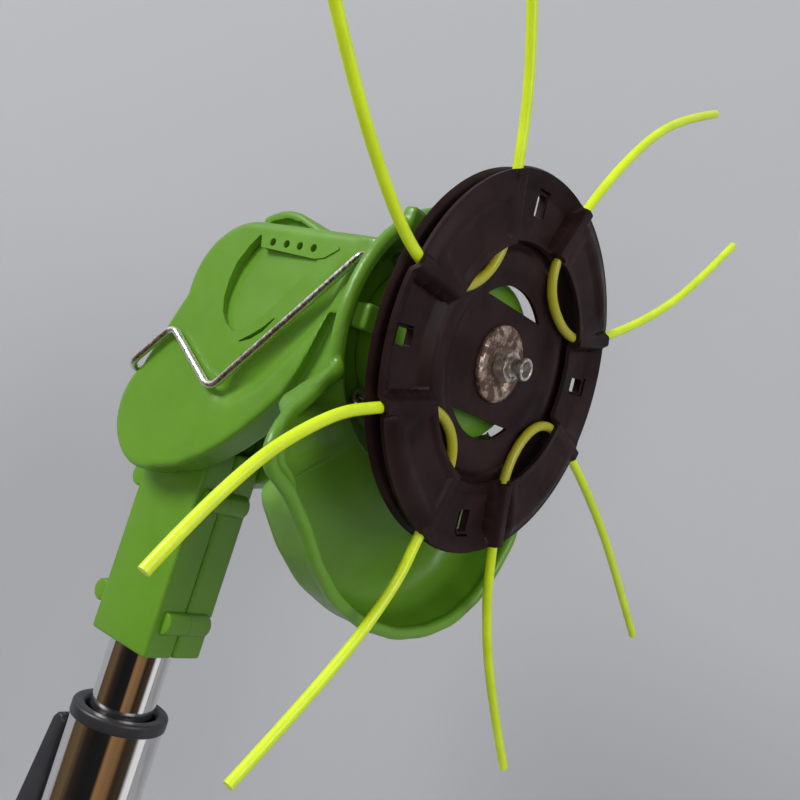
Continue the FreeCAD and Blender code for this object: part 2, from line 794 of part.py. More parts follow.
def bearing(name, back):
    """Plain ball bearing as one closed ring."""
    return node(name, turned(
        [(-back, shaft_radius + bearing_gap), (-back, bearing_radius),
         (bearing_width - back, bearing_radius),
         (bearing_width - back, shaft_radius + bearing_gap)], name))


bearing("rear_bearing", boss_back)
bearing("front_bearing", cap_back)

magnet_inner = motor_inside - slip - size("magnet_thickness")
rotor_radius = magnet_inner - size("rotor_gap")
magnet_front = size("magnet_front")
magnet_back = magnet_front + size("magnet_length")


def motor_magnets():
    """Two curved magnets bonded in the can."""
    ring = rod(motor_inside - slip, head_point(-magnet_back, 0, 0),
               head_point(-magnet_front, 0, 0))
    ring = ring.cut(rod(magnet_inner, head_point(-magnet_back, 0, 0),
                        head_point(-magnet_front, 0, 0)))
    half = size("magnet_spacing") / 2
    gap = slab(head_point(-magnet_back, -half, -motor_radius),
               head_point(-magnet_front, half, motor_radius))
    return ring.cut(gap)


node("motor_magnets", carry("motor_magnets", motor_magnets()))

brush_middle = size("brush_back")
commutator_radius = size("commutator_diameter") / 2


def brush(side, gap):
    """Carbon brush beside the commutator."""
    inner = commutator_radius + 2 * bearing_gap
    half = size("brush_width") / 2 + gap
    sides = sorted((side * inner, side * (inner + size("brush_length"))))
    return slab(head_point(-brush_middle - half, sides[0] - gap, -half),
                head_point(-brush_middle + half, sides[1] + gap, half))


def brush_holder():
    """Insulating ring in the can with a slot for each brush."""
    half = size("brush_holder_width") / 2
    start = head_point(-brush_middle - half, 0, 0)
    end = head_point(-brush_middle + half, 0, 0)
    ring = rod(motor_inside - slip, start, end)
    ring = ring.cut(rod(commutator_radius + 2 * size("rotor_gap"), start, end))
    return ring.cut(brush(1, slip)).cut(brush(-1, slip))


node("brush_holder", carry("brush_holder", brush_holder()))
node("motor_brushes", carry("motor_brushes", Part.makeCompound([brush(1, 0), brush(-1, 0)])))

# Guard

# Lip of the scoop as (side, rise, corner radius), from the near tab down and round
SCOOP = ((-39, -14, 3), (-82.5, -37.5, 6), (-64, -50, 30), (-54, -58.2, 30), (-45.5, -67, 30),
         (-34, -75.6, 30), (-19, -81.8, 30), (-2, -84.4, 30), (13, -83.2, 30),
         (26, -79, 20), (36.5, -71, 15), (43, -61, 20), (47.5, -50, 10), (43, -20, 6),
         (0, 0, 3))
# Front edge of the scoop in side view, from under the flange down to the lip
SCOOP_EDGE = ((-22, -22), (-18, -27), (-10, -34), (-6, -40), (-4, -47))


def around(radius, angle, back):
    """Point about the spindle, the angle turned from the top to the far side."""
    turn = math.radians(angle)
    return head_point(back, radius * math.sin(turn), radius * math.cos(turn))


def scoop_block(inset, back, rounding):
    """Rounded prism of the scoop outline, from its back to its lip."""
    points = [head_point(back, side, rise) for side, rise, radius in SCOOP]
    outline = rounded(points, [corner[2] for corner in SCOOP], True)
    if inset:
        outline = outline.makeOffset2D(-inset)
    block = Part.Face(outline).extrude(AXIS * (-back - size("scoop_lip")))
    edges = [edge for edge in block.Edges
             if max(abs(v.X - REACH - back) for v in edge.Vertexes) < 0.01
             and (edge.CenterOfMass - head_point(back, 0, 0)).Length > size("flange_radius")]
    return block.makeFillet(rounding, edges)


def guard():
    """Flange cup behind the disc with the scoop below it, in one moulding."""
    wall = size("guard_wall")
    front = size("flange_front")
    back = size("front_face") - size("nose_foot")
    flange = size("flange_radius")
    nose = size("nose_radius") + slip
    neck = size("guard_neck_radius")
    profile = [(-back, nose), (-back, neck), (-front - wall, flange), (-front, flange),
               (-front, flange - wall), (wall - back, neck - wall), (wall - back, nose)]
    corners = [head_point(x, 0, radius) for x, radius in profile]
    cup = Part.Face(Part.makePolygon(corners + corners[:1]))
    cup = cup.revolve(head_point(0, 0, 0), AXIS, 360)
    scoop_back = -size("scoop_back")
    rounding = size("scoop_rounding")
    hollow = scoop_block(wall, scoop_back + wall, 0.8 * (rounding - wall))
    hollow.translate(AXIS * slip)
    scoop = scoop_block(0, scoop_back, rounding).cut(hollow)
    scoop = scoop.cut(rod(flange - wall, head_point(2 * scoop_back, 0, 0),
                          head_point(0, 0, 0)))
    far = 3 * flange
    foot_x, foot_z = SCOOP_EDGE[0]
    lip_x = SCOOP_EDGE[-1][0]
    above = [(-front, far), (-front, foot_z + wall * 3), (foot_x, foot_z)]
    above += [*SCOOP_EDGE[1:], (lip_x, -far), (far, -far), (far, far)]
    body = cup.fuse(scoop.cut(plate(above, -far, far)))
    for place_of in guard_screw_places():
        body = body.cut(rod(size("screw_diameter") / 2 + slip, place_of,
                            place_of + AXIS * (size("nose_foot") + 2 * wall)))
    return body


def nose_cover():
    """Round cover of the spindle, its foot held under the guard."""
    wall = size("guard_wall")
    back = size("front_face")
    foot = back - size("nose_foot")
    nose = size("nose_radius")
    front = size("nose_front")
    hole = size("nose_hole_radius")
    profile = [(-back, nose - wall), (-back, size("nose_foot_radius")),
               (-foot, size("nose_foot_radius")), (-foot, nose), (-front, nose),
               (-front, hole), (-front - wall, hole), (-front - wall, nose - wall)]
    corners = [head_point(x, 0, radius) for x, radius in profile]
    face = Part.Face(Part.makePolygon(corners + corners[:1]))
    body = face.revolve(head_point(0, 0, 0), AXIS, 360)
    for place_of in guard_screw_places():
        body = body.cut(rod(size("screw_diameter") / 2 + slip, place_of - AXIS,
                            place_of + AXIS * 2 * wall))
    return body


node("nose_cover", carry("nose_cover", nose_cover()))
node("guard", carry("guard", guard()))
node("guard_screws", carry("guard_screws", Part.makeCompound(
    [screw(place_of - AXIS * size("guard_screw_bite"), AXIS,
           size("guard_screw_bite") + size("nose_foot") + size("guard_wall"))
     for place_of in guard_screw_places()])))

# Spindle and line disc

floor_back = size("plate_floor") + size("sheet")
shoulder_back = floor_back + size("shoulder_thickness")
thread_radius = size("thread_diameter") / 2
thread_bore = thread_radius - size("thread_wall")
adapter_back = size("adapter_back")

node("motor_shaft", cylinder(
    "motor_shaft", "shaft_diameter / 2",
    "motor_back + motor_boss_length - free_gap - plate_floor - sheet - shoulder_thickness",
    ("disc_reach - motor_back - motor_boss_length + free_gap", "0", "spindle_height"), "x"))

node("drive_adapter", turned(
    [(-adapter_back, shaft_radius + slip), (-adapter_back, size("adapter_radius")),
     (-shoulder_back, size("adapter_radius")), (-shoulder_back, size("shoulder_radius")),
     (-floor_back, size("shoulder_radius")), (-floor_back, thread_radius),
     (size("thread_tip"), thread_radius), (size("thread_tip"), thread_bore),
     (size("thread_floor"), thread_bore), (size("thread_floor"), 0), (-shoulder_back, 0),
     (-shoulder_back, shaft_radius + slip)], "drive_adapter"))

node("armature", turned(
    [(-magnet_back, shaft_radius + slip), (-magnet_back, rotor_radius),
     (-magnet_front, rotor_radius), (-magnet_front, shaft_radius + slip)], "armature"))

commutator_back = magnet_front - size("free_gap")
commutator_length = size("commutator_length")

node("commutator", turned(
    [(-commutator_back, shaft_radius + slip), (-commutator_back, commutator_radius),
     (commutator_length - commutator_back, commutator_radius),
     (commutator_length - commutator_back, shaft_radius + slip)], "commutator"))

plate_front = -size("plate_floor")
disc_radius = size("disc_radius")
# Front of the pressed plate as (back, radius), with its round swage and turned rim
PRESSED = ((plate_front, thread_radius + slip), (plate_front, 24), (0.9, 27.5), (0.9, 31.9),
           (plate_front, 33.2), (plate_front, disc_radius - 1.4))
RIM = ((plate_front - 1.7, disc_radius), (plate_front - 2.9, disc_radius - 0.3),
       (plate_front - size("sheet"), disc_radius - 2.4))
BEHIND = [(back - size("sheet"), radius) for back, radius in reversed(PRESSED[:-1])]


def tab_holes(body):
    """Tab hole at the middle of each land, through both sheets."""
    width = size("tab_hole_width") / 2
    length = size("tab_hole_length") / 2
    radius = size("tab_hole_radius")
    for quarter in range(4):
        hole = slab(head_point(-radius, -width, radius - length),
                    head_point(radius, width, radius + length))
        hole.rotate(head_point(0, 0, 0), AXIS, -size("land_turn") - 90 * quarter)
        body = body.cut(hole)
    return body


def rear_plate():
    """Pressed sheet plate with two windows and four tab holes."""
    corners = [head_point(x, 0, radius) for x, radius in [*PRESSED, *RIM, *BEHIND]]
    face = Part.Face(Part.makePolygon(corners + corners[:1]))
    body = face.revolve(head_point(0, 0, 0), AXIS, 360)
    radius = size("window_radius")
    chord = size("window_chord")
    opening = rod(radius, head_point(-radius, 0, 0), head_point(radius, 0, 0))
    for low, high in ((chord, radius), (-radius, -chord)):
        body = body.cut(opening.common(slab(head_point(-radius, -radius, low),
                                            head_point(radius, radius, high))))
    return tab_holes(body)


node("rear_plate", carry("rear_plate", rear_plate()))


RAISED = plate_front + size("ring_lift")
ring_edge = size("ring_inner_radius")
# Back of the ring's sheet as (back, radius) across a land and across a raised sector
LAND_SECTION = ((plate_front + 1.8, ring_edge), (plate_front, ring_edge + 3.5),
                (plate_front, disc_radius - 5.5), (plate_front + 2.9, disc_radius))
RAISED_SECTION = tuple((RAISED, radius) for back, radius in LAND_SECTION)


def ring_wire(section, angle):
    """Closed section of the ring's sheet at one angle."""
    corners = [around(radius, angle, back) for back, radius in section]
    corners += [around(radius, angle, back + size("sheet"))
                for back, radius in reversed(section)]
    return Part.makePolygon(corners + corners[:1])


def ring_piece(start, end, section, end_section):
    """Sheet between two angles, from one section to the other."""
    if section == end_section:
        face = Part.Face(ring_wire(section, start))
        return face.revolve(head_point(0, 0, 0), -AXIS, end - start)
    return Part.makeLoft([ring_wire(section, start), ring_wire(end_section, end)],
                         True, True)


def front_ring():
    """Pressed ring: four lands on the plate and four raised sectors."""
    flat = size("land_half_angle")
    foot = flat + size("ramp_angle")
    pieces = []
    for quarter in range(4):
        middle = size("land_turn") + 90 * quarter
        pieces.append(ring_piece(middle - flat, middle + flat, LAND_SECTION, LAND_SECTION))
        pieces.append(ring_piece(middle + flat, middle + foot, LAND_SECTION, RAISED_SECTION))
        pieces.append(ring_piece(middle - foot, middle - flat, RAISED_SECTION, LAND_SECTION))
        pieces.append(ring_piece(middle + foot, middle + 90 - foot, RAISED_SECTION,
                                 RAISED_SECTION))
    body = pieces[0].multiFuse(pieces[1:])
    return tab_holes(body)


# Each line runs in from one tip, round inside a sector and out to the other tip
LINE_ROUTES = {
    "line_1": [(-115, 62), (-100, 47), (-79, 28.5), (-54.5, 12.5), (-31.5, 10.5),
               (-18, 26), (-24.5, 49.6), (-30, 68), (-39.5, 86), (-50, 103)],
    "line_2": [(83, 119), (59, 105), (38.5, 87), (17.5, 58), (4.7, 28.9),
               (26, 15.6), (49, 22), (87, 44), (113, 65.5), (135, 88)],
    "line_3": [(152, -75), (122, -55), (92, -36), (54, -17), (28.3, -8.4),
               (14.6, -24.7), (21.5, -50.6), (29, -70), (46, -95), (73, -124)],
    "line_4": [(-60, -117), (-35, -90), (-20, -66), (-17.4, -53.5), (-10.6, -29.6),
               (-24.5, -17.6), (-50, -25.5), (-66, -31), (-88, -47), (-103, -70)],
}


def line_tube(route, radius):
    """Stiff nylon line along its route, between the two sheets."""
    points = [head_point(size("line_lift"), side, rise) for side, rise in route]
    path = rounded(points, soft_radii(points, 4), False)
    return tube_along(path, radius)


for name, route in LINE_ROUTES.items():
    node(name, carry(name, line_tube(route, size("line_diameter") / 2)))
grooves = [line_tube(route, size("line_diameter") / 2 + slip) for route in LINE_ROUTES.values()]
ring = front_ring().cut(grooves)
node("front_ring", carry("front_ring", max(ring.Solids, key=lambda solid: solid.Volume)))

node("clamp_washer", cut(
    "clamp_washer",
    cylinder("washer_body", "washer_radius", "washer_thickness",
             ("disc_reach - plate_floor", "0", "spindle_height"), "x"),
    cylinder("washer_bore", "thread_diameter / 2 + slip_gap", "washer_thickness",
             ("disc_reach - plate_floor", "0", "spindle_height"), "x")))
nut_start = ("disc_reach - plate_floor + washer_thickness", "0", "spindle_height")
node("clamp_nut", cut(
    "clamp_nut",
    hexagon("nut_body", "nut_flats / 1.732", "nut_height", nut_start, "x"),
    cylinder("nut_bore", "thread_diameter / 2 + slip_gap", "nut_height", nut_start, "x")))

# Wire guard


WIRE_LEG = ((-85.1, -32.1), (-112.4, -15.3), (-129.6, -32.6))


def wire_guard():
    """Bent wire that hangs on the housing sides and loops behind the ears."""
    out = HALF_HEAD + size("wire_offset")
    tail = HALF_HEAD - size("wire_tail")
    pivot = (-size("wire_pivot_back"), size("wire_pivot_rise"))
    leg = [pivot, *WIRE_LEG]
    near = [head_point(back, -out, rise) for back, rise in leg]
    far = [head_point(back, out, rise) for back, rise in reversed(leg)]
    points = [head_point(pivot[0], -tail, pivot[1])] + near + far
    points.append(head_point(pivot[0], tail, pivot[1]))
    tail_bend = size("wire_tail_bend")
    radii = [0, tail_bend] + [size("wire_bend")] * (2 * len(WIRE_LEG)) + [tail_bend, 0]
    return tube_along(rounded(points, radii, False), size("wire_diameter") / 2)


node("wire_guard", carry("wire_guard", wire_guard()))

doc.recompute()

for item in doc.Objects:
    if "Invalid" in item.State or "Error" in item.State:
        raise RuntimeError(f"{item.Label} failed: {item.State}")
for piece in NODES:
    if piece.Shape.isNull() or not piece.Shape.isValid():
        raise RuntimeError(f"{piece.Label} has no valid shape")
for piece in NODES:
    piece.Shape.exportStep(f"parts/{piece.Label}.step")
    print(piece.Label, len(piece.Shape.Solids), round(piece.Shape.Volume))
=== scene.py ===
"""Dresses the tilting string trimmer head and sets its camera, lamps and backdrop.

Sizes in the classes are in millimetres, and places run back, across and up from the disc's
centre, unless a comment says otherwise.
"""

import json
import logging
import math
from dataclasses import dataclass, field
from enum import Enum
from typing import Callable, Iterable, Sequence

import bmesh
import bpy
import numpy as np
from mathutils import Matrix, Vector


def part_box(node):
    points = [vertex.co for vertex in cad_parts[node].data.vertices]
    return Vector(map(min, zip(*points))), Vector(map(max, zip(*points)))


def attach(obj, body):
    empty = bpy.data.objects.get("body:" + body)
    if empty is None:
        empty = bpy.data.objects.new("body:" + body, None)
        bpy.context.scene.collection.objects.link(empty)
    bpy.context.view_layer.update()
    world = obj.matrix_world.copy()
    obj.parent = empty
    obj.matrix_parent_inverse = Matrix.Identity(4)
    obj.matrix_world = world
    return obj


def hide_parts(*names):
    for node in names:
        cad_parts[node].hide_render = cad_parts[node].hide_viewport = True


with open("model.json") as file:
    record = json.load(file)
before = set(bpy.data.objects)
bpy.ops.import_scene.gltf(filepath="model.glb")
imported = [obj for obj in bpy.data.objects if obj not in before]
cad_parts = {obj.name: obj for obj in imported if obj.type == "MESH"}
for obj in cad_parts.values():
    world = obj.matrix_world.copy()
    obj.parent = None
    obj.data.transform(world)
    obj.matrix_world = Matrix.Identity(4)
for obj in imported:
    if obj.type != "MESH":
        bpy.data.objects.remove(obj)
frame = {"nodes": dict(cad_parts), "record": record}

LOG = logging.getLogger("trimmer_head")
MM = 0.001
Pair = tuple[float, float]
Colour = tuple[float, float, float]
SIDES = (-1, 1)
GUARD_SCREWS = (17.68, 21.07)


class Axis(Enum):
    """Direction of a turned or extruded piece."""

    ALONG = Vector((1, 0, 0))
    ACROSS = Vector((0, 1, 0))
    UP = Vector((0, 0, 1))


def joint_place(name: str) -> Vector:
    """Place of a joint of the frame, in metres.

    Args:
        name: The joint's name.

    Returns:
        The point on the joint's axis.
    """
    joint = next(each for each in frame["record"]["behaviour"]["joints"] if each["name"] == name)
    return Vector(joint["pos_m"])


DISC = joint_place("spindle_spin")
PIVOT = joint_place("head_tilt")
WIRE_PIVOT = joint_place("wire_swing")


def at(back: float, side: float, rise: float) -> Vector:
    """Point in metres from millimetres along, across and above the disc's centre."""
    return DISC + Vector((back, side, rise)) * MM


def spot(x: float, y: float, z: float) -> Vector:
    """Point in metres from millimetres in the frame's own axes."""
    return Vector((x, y, z)) * MM


def span(side: int, near: float, far: float) -> Pair:
    """Two distances from the middle plane on one side, the lower one first."""
    low, high = sorted((side * near, side * far))
    return low, high


# Meshes


def linked(name: str, data: bpy.types.ID) -> bpy.types.Object:
    """New object of some data, linked to the scene.

    Args:
        name: The object's name.
        data: Mesh, curve, camera or lamp data.

    Returns:
        The new object.
    """
    piece = bpy.data.objects.new(name, data)
    bpy.context.collection.objects.link(piece)
    return piece


def mesh_piece(name: str, points: Iterable[Vector], faces: Sequence[Sequence[int]],
               edges: Sequence[Sequence[int]] = ()) -> bpy.types.Object:
    """Object at the origin whose place is in its mesh.

    Args:
        name: The object's name.
        points: Corners in metres.
        faces: Corner numbers of each face.
        edges: Corner numbers of each loose edge.

    Returns:
        The new object, linked to the scene.
    """
    mesh = bpy.data.meshes.new(name)
    mesh.from_pydata([tuple(point) for point in points], edges, faces)
    mesh.validate()
    return linked(name, mesh)


def discard(*objects: bpy.types.Object) -> None:
    """Remove helper objects."""
    for helper in objects:
        bpy.data.objects.remove(helper)


def evaluated(piece: bpy.types.Object) -> bpy.types.Mesh:
    """Mesh of an object with its modifiers.

    Args:
        piece: The object.

    Returns:
        A new mesh.
    """
    bpy.context.view_layer.update()
    graph = bpy.context.evaluated_depsgraph_get()
    return bpy.data.meshes.new_from_object(piece.evaluated_get(graph), depsgraph=graph)


def applied(piece: bpy.types.Object) -> bpy.types.Object:
    """Turn a piece and its modifiers into a plain mesh.

    Args:
        piece: The object to settle.

    Returns:
        The same object with no modifiers.
    """
    mesh = evaluated(piece)
    piece.modifiers.clear()
    piece.data = mesh
    return piece


def outward(piece: bpy.types.Object) -> bpy.types.Object:
    """Merge doubles and turn all faces outwards.

    Args:
        piece: The object to change.

    Returns:
        The same object.
    """
    work = bmesh.new()
    work.from_mesh(piece.data)
    bmesh.ops.remove_doubles(work, verts=work.verts, dist=1e-7)
    bmesh.ops.recalc_face_normals(work, faces=work.faces)
    work.to_mesh(piece.data)
    work.free()
    return piece


def shaded(piece: bpy.types.Object, angle: float = 40) -> bpy.types.Object:
    """Shade smooth with sharp edges above an angle in degrees.

    Args:
        piece: The object to change.
        angle: Angle above which an edge stays sharp.

    Returns:
        The same object.
    """
    mesh = piece.data
    mesh.polygons.foreach_set("use_smooth", [True] * len(mesh.polygons))
    mesh.set_sharp_from_angle(angle=math.radians(angle))
    return piece


def joined(name: str, parts: Sequence[bpy.types.Object]) -> bpy.types.Object:
    """One object that holds the shells of several.

    Args:
        name: The new object's name.
        parts: Objects whose meshes are copied and which are then removed.

    Returns:
        The joined object.
    """
    work = bmesh.new()
    for part in parts:
        work.from_mesh(part.data)
    mesh = bpy.data.meshes.new(name)
    work.to_mesh(mesh)
    work.free()
    discard(*parts)
    return linked(name, mesh)


def cut(piece: bpy.types.Object, cutter: bpy.types.Object,
        operation: str = "DIFFERENCE") -> bpy.types.Object:
    """Boolean of two closed meshes.

    Args:
        piece: The object that is changed.
        cutter: The other operand, which is removed afterwards.
        operation: DIFFERENCE, UNION or INTERSECT.

    Returns:
        The changed piece.
    """
    change = piece.modifiers.new("change", "BOOLEAN")
    change.operation = operation
    change.solver = "EXACT"
    change.object = cutter
    applied(piece)
    discard(cutter)
    return piece


def fused(piece: bpy.types.Object, voxel: float, passes: int) -> bpy.types.Object:
    """Fuse overlapping shells into one skin and soften its edges.

    Args:
        piece: Object with closed, overlapping shells.
        voxel: Mesh size in millimetres.
        passes: Smoothing passes.

    Returns:
        The same object with its new skin.
    """
    skin = piece.modifiers.new("skin", "REMESH")
    skin.mode = "VOXEL"
    skin.voxel_size = voxel * MM
    skin.use_smooth_shade = True
    soften = piece.modifiers.new("soften", "SMOOTH")
    soften.factor = 0.5
    soften.iterations = passes
    return applied(piece)


def walled(piece: bpy.types.Object, wall: float, offset: float) -> bpy.types.Object:
    """Give a sheet its thickness in millimetres, behind it at -1 and before it at 1.

    Args:
        piece: The sheet.
        wall: Thickness in millimetres.
        offset: -1 for behind the sheet, 1 for in front.

    Returns:
        The same object.
    """
    thick = piece.modifiers.new("thick", "SOLIDIFY")
    thick.thickness = wall * MM
    thick.offset = offset
    return applied(piece)


def bevelled(piece: bpy.types.Object, width: float, segments: int = 3,
             angle: float = 35) -> bpy.types.Object:
    """Round the edges of a piece by a width in millimetres.

    Args:
        piece: The object to change.
        width: Width of the rounding in millimetres.
        segments: Faces across the rounding.
        angle: Angle in degrees above which an edge is rounded.

    Returns:
        The same object.
    """
    edge = piece.modifiers.new("edge", "BEVEL")
    edge.width = width * MM
    edge.segments = segments
    edge.limit_method = "ANGLE"
    edge.angle_limit = math.radians(angle)
    return applied(piece)


def softened_corners(points: Sequence[Vector], radii: Sequence[float], closed: bool,
                     steps: int = 8) -> list[Vector]:
    """Path whose corners are tangent arcs.

    Args:
        points: Corners of the path.
        radii: Radius at each corner, 0 for a sharp one.
        closed: Whether the last run leads back to the first corner.
        steps: Points along each arc.

    Returns:
        The points of the path with its arcs.
    """
    path = []
    count = len(points)
    for index, corner in enumerate(points):
        if radii[index] <= 0 or (not closed and index in (0, count - 1)):
            path.append(corner.copy())
            continue
        back = (points[index - 1] - corner).normalized()
        ahead = (points[(index + 1) % count] - corner).normalized()
        half = back.angle(ahead) / 2
        middle = (back + ahead).normalized()
        centre = corner + middle * (radii[index] / math.sin(half))
        start = corner + back * (radii[index] / math.tan(half)) - centre
        end = corner + ahead * (radii[index] / math.tan(half)) - centre
        for step in range(steps + 1):
            ray = start.lerp(end, step / steps)
            path.append(centre + ray.normalized() * radii[index])
    return path


def flat_path(corners: Sequence[Pair], radii: Sequence[float] | float,
              steps: int = 6) -> list[Pair]:
    """Closed outline of pairs with rounded corners.

    Args:
        corners: Corner pairs in millimetres.
        radii: One radius for all corners, or one for each.
        steps: Points along each arc.

    Returns:
        The rounded outline.
    """
    if not isinstance(radii, (list, tuple)):
        radii = [radii] * len(corners)
    points = [Vector((first, second, 0)) for first, second in corners]
    return [(point.x, point.y) for point in softened_corners(points, radii, True, steps)]


def turned(name: str, profile: Sequence[Pair], centre: Vector, axis: Axis = Axis.ALONG,
           steps: int = 96) -> bpy.types.Object:
    """Closed solid turned about an axis.

    Args:
        name: The object's name.
        profile: Closed outline of (along, radius) pairs in millimetres.
        centre: Point on the axis in metres, where along is 0.
        axis: Direction of the axis.
        steps: Number of facets round it.

    Returns:
        The turned object.
    """
    direction = axis.value
    first = Vector((0, 0, 1)) if axis is not Axis.UP else Vector((1, 0, 0))
    second = direction.cross(first)
    points: list[Vector] = []
    rings: list[list[int]] = []
    for along, radius in profile:
        base = centre + direction * along * MM
        if radius < 1e-6:
            rings.append([len(points)] * steps)
            points.append(base)
            continue
        rings.append(list(range(len(points), len(points) + steps)))
        for step in range(steps):
            angle = 2 * math.pi * step / steps
            ray = first * math.cos(angle) + second * math.sin(angle)
            points.append(base + ray * radius * MM)
    faces = []
    for index, ring in enumerate(rings):
        after = rings[(index + 1) % len(rings)]
        for step in range(steps):
            follow = (step + 1) % steps
            corners = [ring[step], ring[follow], after[follow], after[step]]
            corners = list(dict.fromkeys(corners))
            if len(corners) > 2:
                faces.append(corners)
    return outward(mesh_piece(name, points, faces))


def peg(name: str, ends: Pair, radius: float, centre: Vector, axis: Axis = Axis.ALONG,
        steps: int = 96) -> bpy.types.Object:
    """Plain round solid between two places on an axis, in millimetres."""
    low, high = ends
    return turned(name, [(low, 0), (low, radius), (high, radius), (high, 0)], centre, axis, steps)


def extruded(name: str, outline: Sequence[Pair], low: float, high: float) -> bpy.types.Object:
    """Prism across the head from a side view outline.

    Args:
        name: The object's name.
        outline: (back, rise) pairs in millimetres.
        low: Lower side in millimetres.
        high: Higher side in millimetres.

    Returns:
        The closed prism.
    """
    count = len(outline)
    points = [at(back, side, rise) for side in (low, high) for back, rise in outline]
    faces: list[list[int]] = [list(range(count)), list(range(2 * count - 1, count - 1, -1))]
    for index in range(count):
        after = (index + 1) % count
        faces.append([index, after, after + count, index + count])
    return outward(mesh_piece(name, points, faces))


def brick(name: str, low: Vector, high: Vector, width: float = 0) -> bpy.types.Object:
    """Box between two corners in metres, with its edges rounded in millimetres.

    Args:
        name: The object's name.
        low: Lowest corner in metres.
        high: Highest corner in metres.
        width: Rounding of the edges in millimetres, or 0.

    Returns:
        The box.
    """
    points = [Vector((x, y, z)) for x in (low.x, high.x) for y in (low.y, high.y)
              for z in (low.z, high.z)]
    faces = [[0, 1, 3, 2], [4, 6, 7, 5], [0, 4, 5, 1], [2, 3, 7, 6], [0, 2, 6, 4], [1, 5, 7, 3]]
    piece = outward(mesh_piece(name, points, faces))
    return bevelled(piece, width, 4) if width else piece


def mirrored(piece: bpy.types.Object, name: str) -> bpy.types.Object:
    """Copy on the other side of the middle plane, with its faces turned back.

    Args:
        piece: The object to copy.
        name: The copy's name.

    Returns:
        The copy.
    """
    mesh = piece.data.copy()
    mesh.transform(Matrix.Diagonal((1, -1, 1, 1)))
    mesh.flip_normals()
    return linked(name, mesh)


def corners_of(piece: bpy.types.Object) -> np.ndarray:
    """All corners of a piece in millimetres from the disc's centre.

    Args:
        piece: The object.

    Returns:
        One row for each corner.
    """
    flat = np.empty(len(piece.data.vertices) * 3)
    piece.data.vertices.foreach_get("co", flat)
    return (flat.reshape(-1, 3) - np.array(DISC)) / MM


def set_corners(piece: bpy.types.Object, places: np.ndarray) -> None:
    """Write corners in millimetres from the disc's centre back to a piece."""
    piece.data.vertices.foreach_set("co", (places * MM + np.array(DISC)).ravel())
    piece.data.update()


def step_between(low: float, high: float, value: np.ndarray) -> np.ndarray:
    """Smooth step from 0 at low to 1 at high."""
    share = np.clip((value - low) / (high - low), 0, 1)
    return share * share * (3 - 2 * share)


def path_distance(path: Sequence[Pair], first: np.ndarray, second: np.ndarray) -> np.ndarray:
    """Distance of points from an open path of pairs.

    Args:
        path: The path's pairs.
        first: First place of each point.
        second: Second place of each point.

    Returns:
        The distances.
    """
    nearest = np.full(first.shape, 1e9)
    for (x0, y0), (x1, y1) in zip(path, path[1:]):
        run = max((x1 - x0) ** 2 + (y1 - y0) ** 2, 1e-12)
        share = np.clip(((first - x0) * (x1 - x0) + (second - y0) * (y1 - y0)) / run, 0, 1)
        distance = np.hypot(first - x0 - share * (x1 - x0), second - y0 - share * (y1 - y0))
        nearest = np.minimum(nearest, distance)
    return nearest


# Geometry node trees


class Tree:
    """Geometry node tree that ends in realized geometry with one material."""

    def __init__(self, name: str) -> None:
        """Start an empty tree with a geometry input.

        Args:
            name: The tree's name.
        """
        self.group = bpy.data.node_groups.new(name, "GeometryNodeTree")
        self.group.interface.new_socket("Geometry", in_out="INPUT",
                                        socket_type="NodeSocketGeometry")
        self.group.interface.new_socket("Geometry", in_out="OUTPUT",
                                        socket_type="NodeSocketGeometry")
        self.sockets: dict[str, str] = {}
        self.start = self.group.nodes.new("NodeGroupInput")
        self.end = self.group.nodes.new("NodeGroupOutput")

    def value(self, name: str, kind: str) -> None:
        """Add a named input such as NodeSocketFloat."""
        socket = self.group.interface.new_socket(name, in_out="INPUT", socket_type=kind)
        self.sockets[name] = socket.identifier

    def node(self, kind: str, **settings: object) -> bpy.types.Node:
        """Add a node and set its properties.

        Args:
            kind: The node's type.
            **settings: Its properties.

        Returns:
            The node.
        """
        made = self.group.nodes.new(kind)
        for key, setting in settings.items():
            setattr(made, key, setting)
        return made

    def link(self, source: bpy.types.NodeSocket, target: bpy.types.NodeSocket) -> None:
        """Join two sockets."""
        self.group.links.new(source, target)

    def close(self, geometry: bpy.types.NodeSocket) -> None:
        """Realize instances, set the material and join the output.

        Args:
            geometry: The socket that carries the finished geometry.
        """
        self.value("Material", "NodeSocketMaterial")
        real = self.node("GeometryNodeRealizeInstances")
        smooth = self.node("GeometryNodeSetShadeSmooth")
        finish = self.node("GeometryNodeSetMaterial")
        self.link(geometry, real.inputs["Geometry"])
        self.link(real.outputs["Geometry"], smooth.inputs["Geometry"])
        self.link(smooth.outputs["Geometry"], finish.inputs["Geometry"])
        self.link(self.start.outputs["Material"], finish.inputs["Material"])
        self.link(finish.outputs["Geometry"], self.end.inputs[0])

    def run(self, piece: bpy.types.Object, **values: object) -> bpy.types.Object:
        """Run the tree on a piece and keep the plain result.

        Args:
            piece: The object that carries the input geometry.
            **values: The named inputs.

        Returns:
            The same object with the tree's mesh.
        """
        modifier = piece.modifiers.new(self.group.name, "NODES")
        modifier.node_group = self.group
        for name, setting in values.items():
            modifier[self.sockets[name]] = setting
        applied(piece)
        piece.data.materials.clear()
        piece.data.materials.append(values["Material"])
        return piece


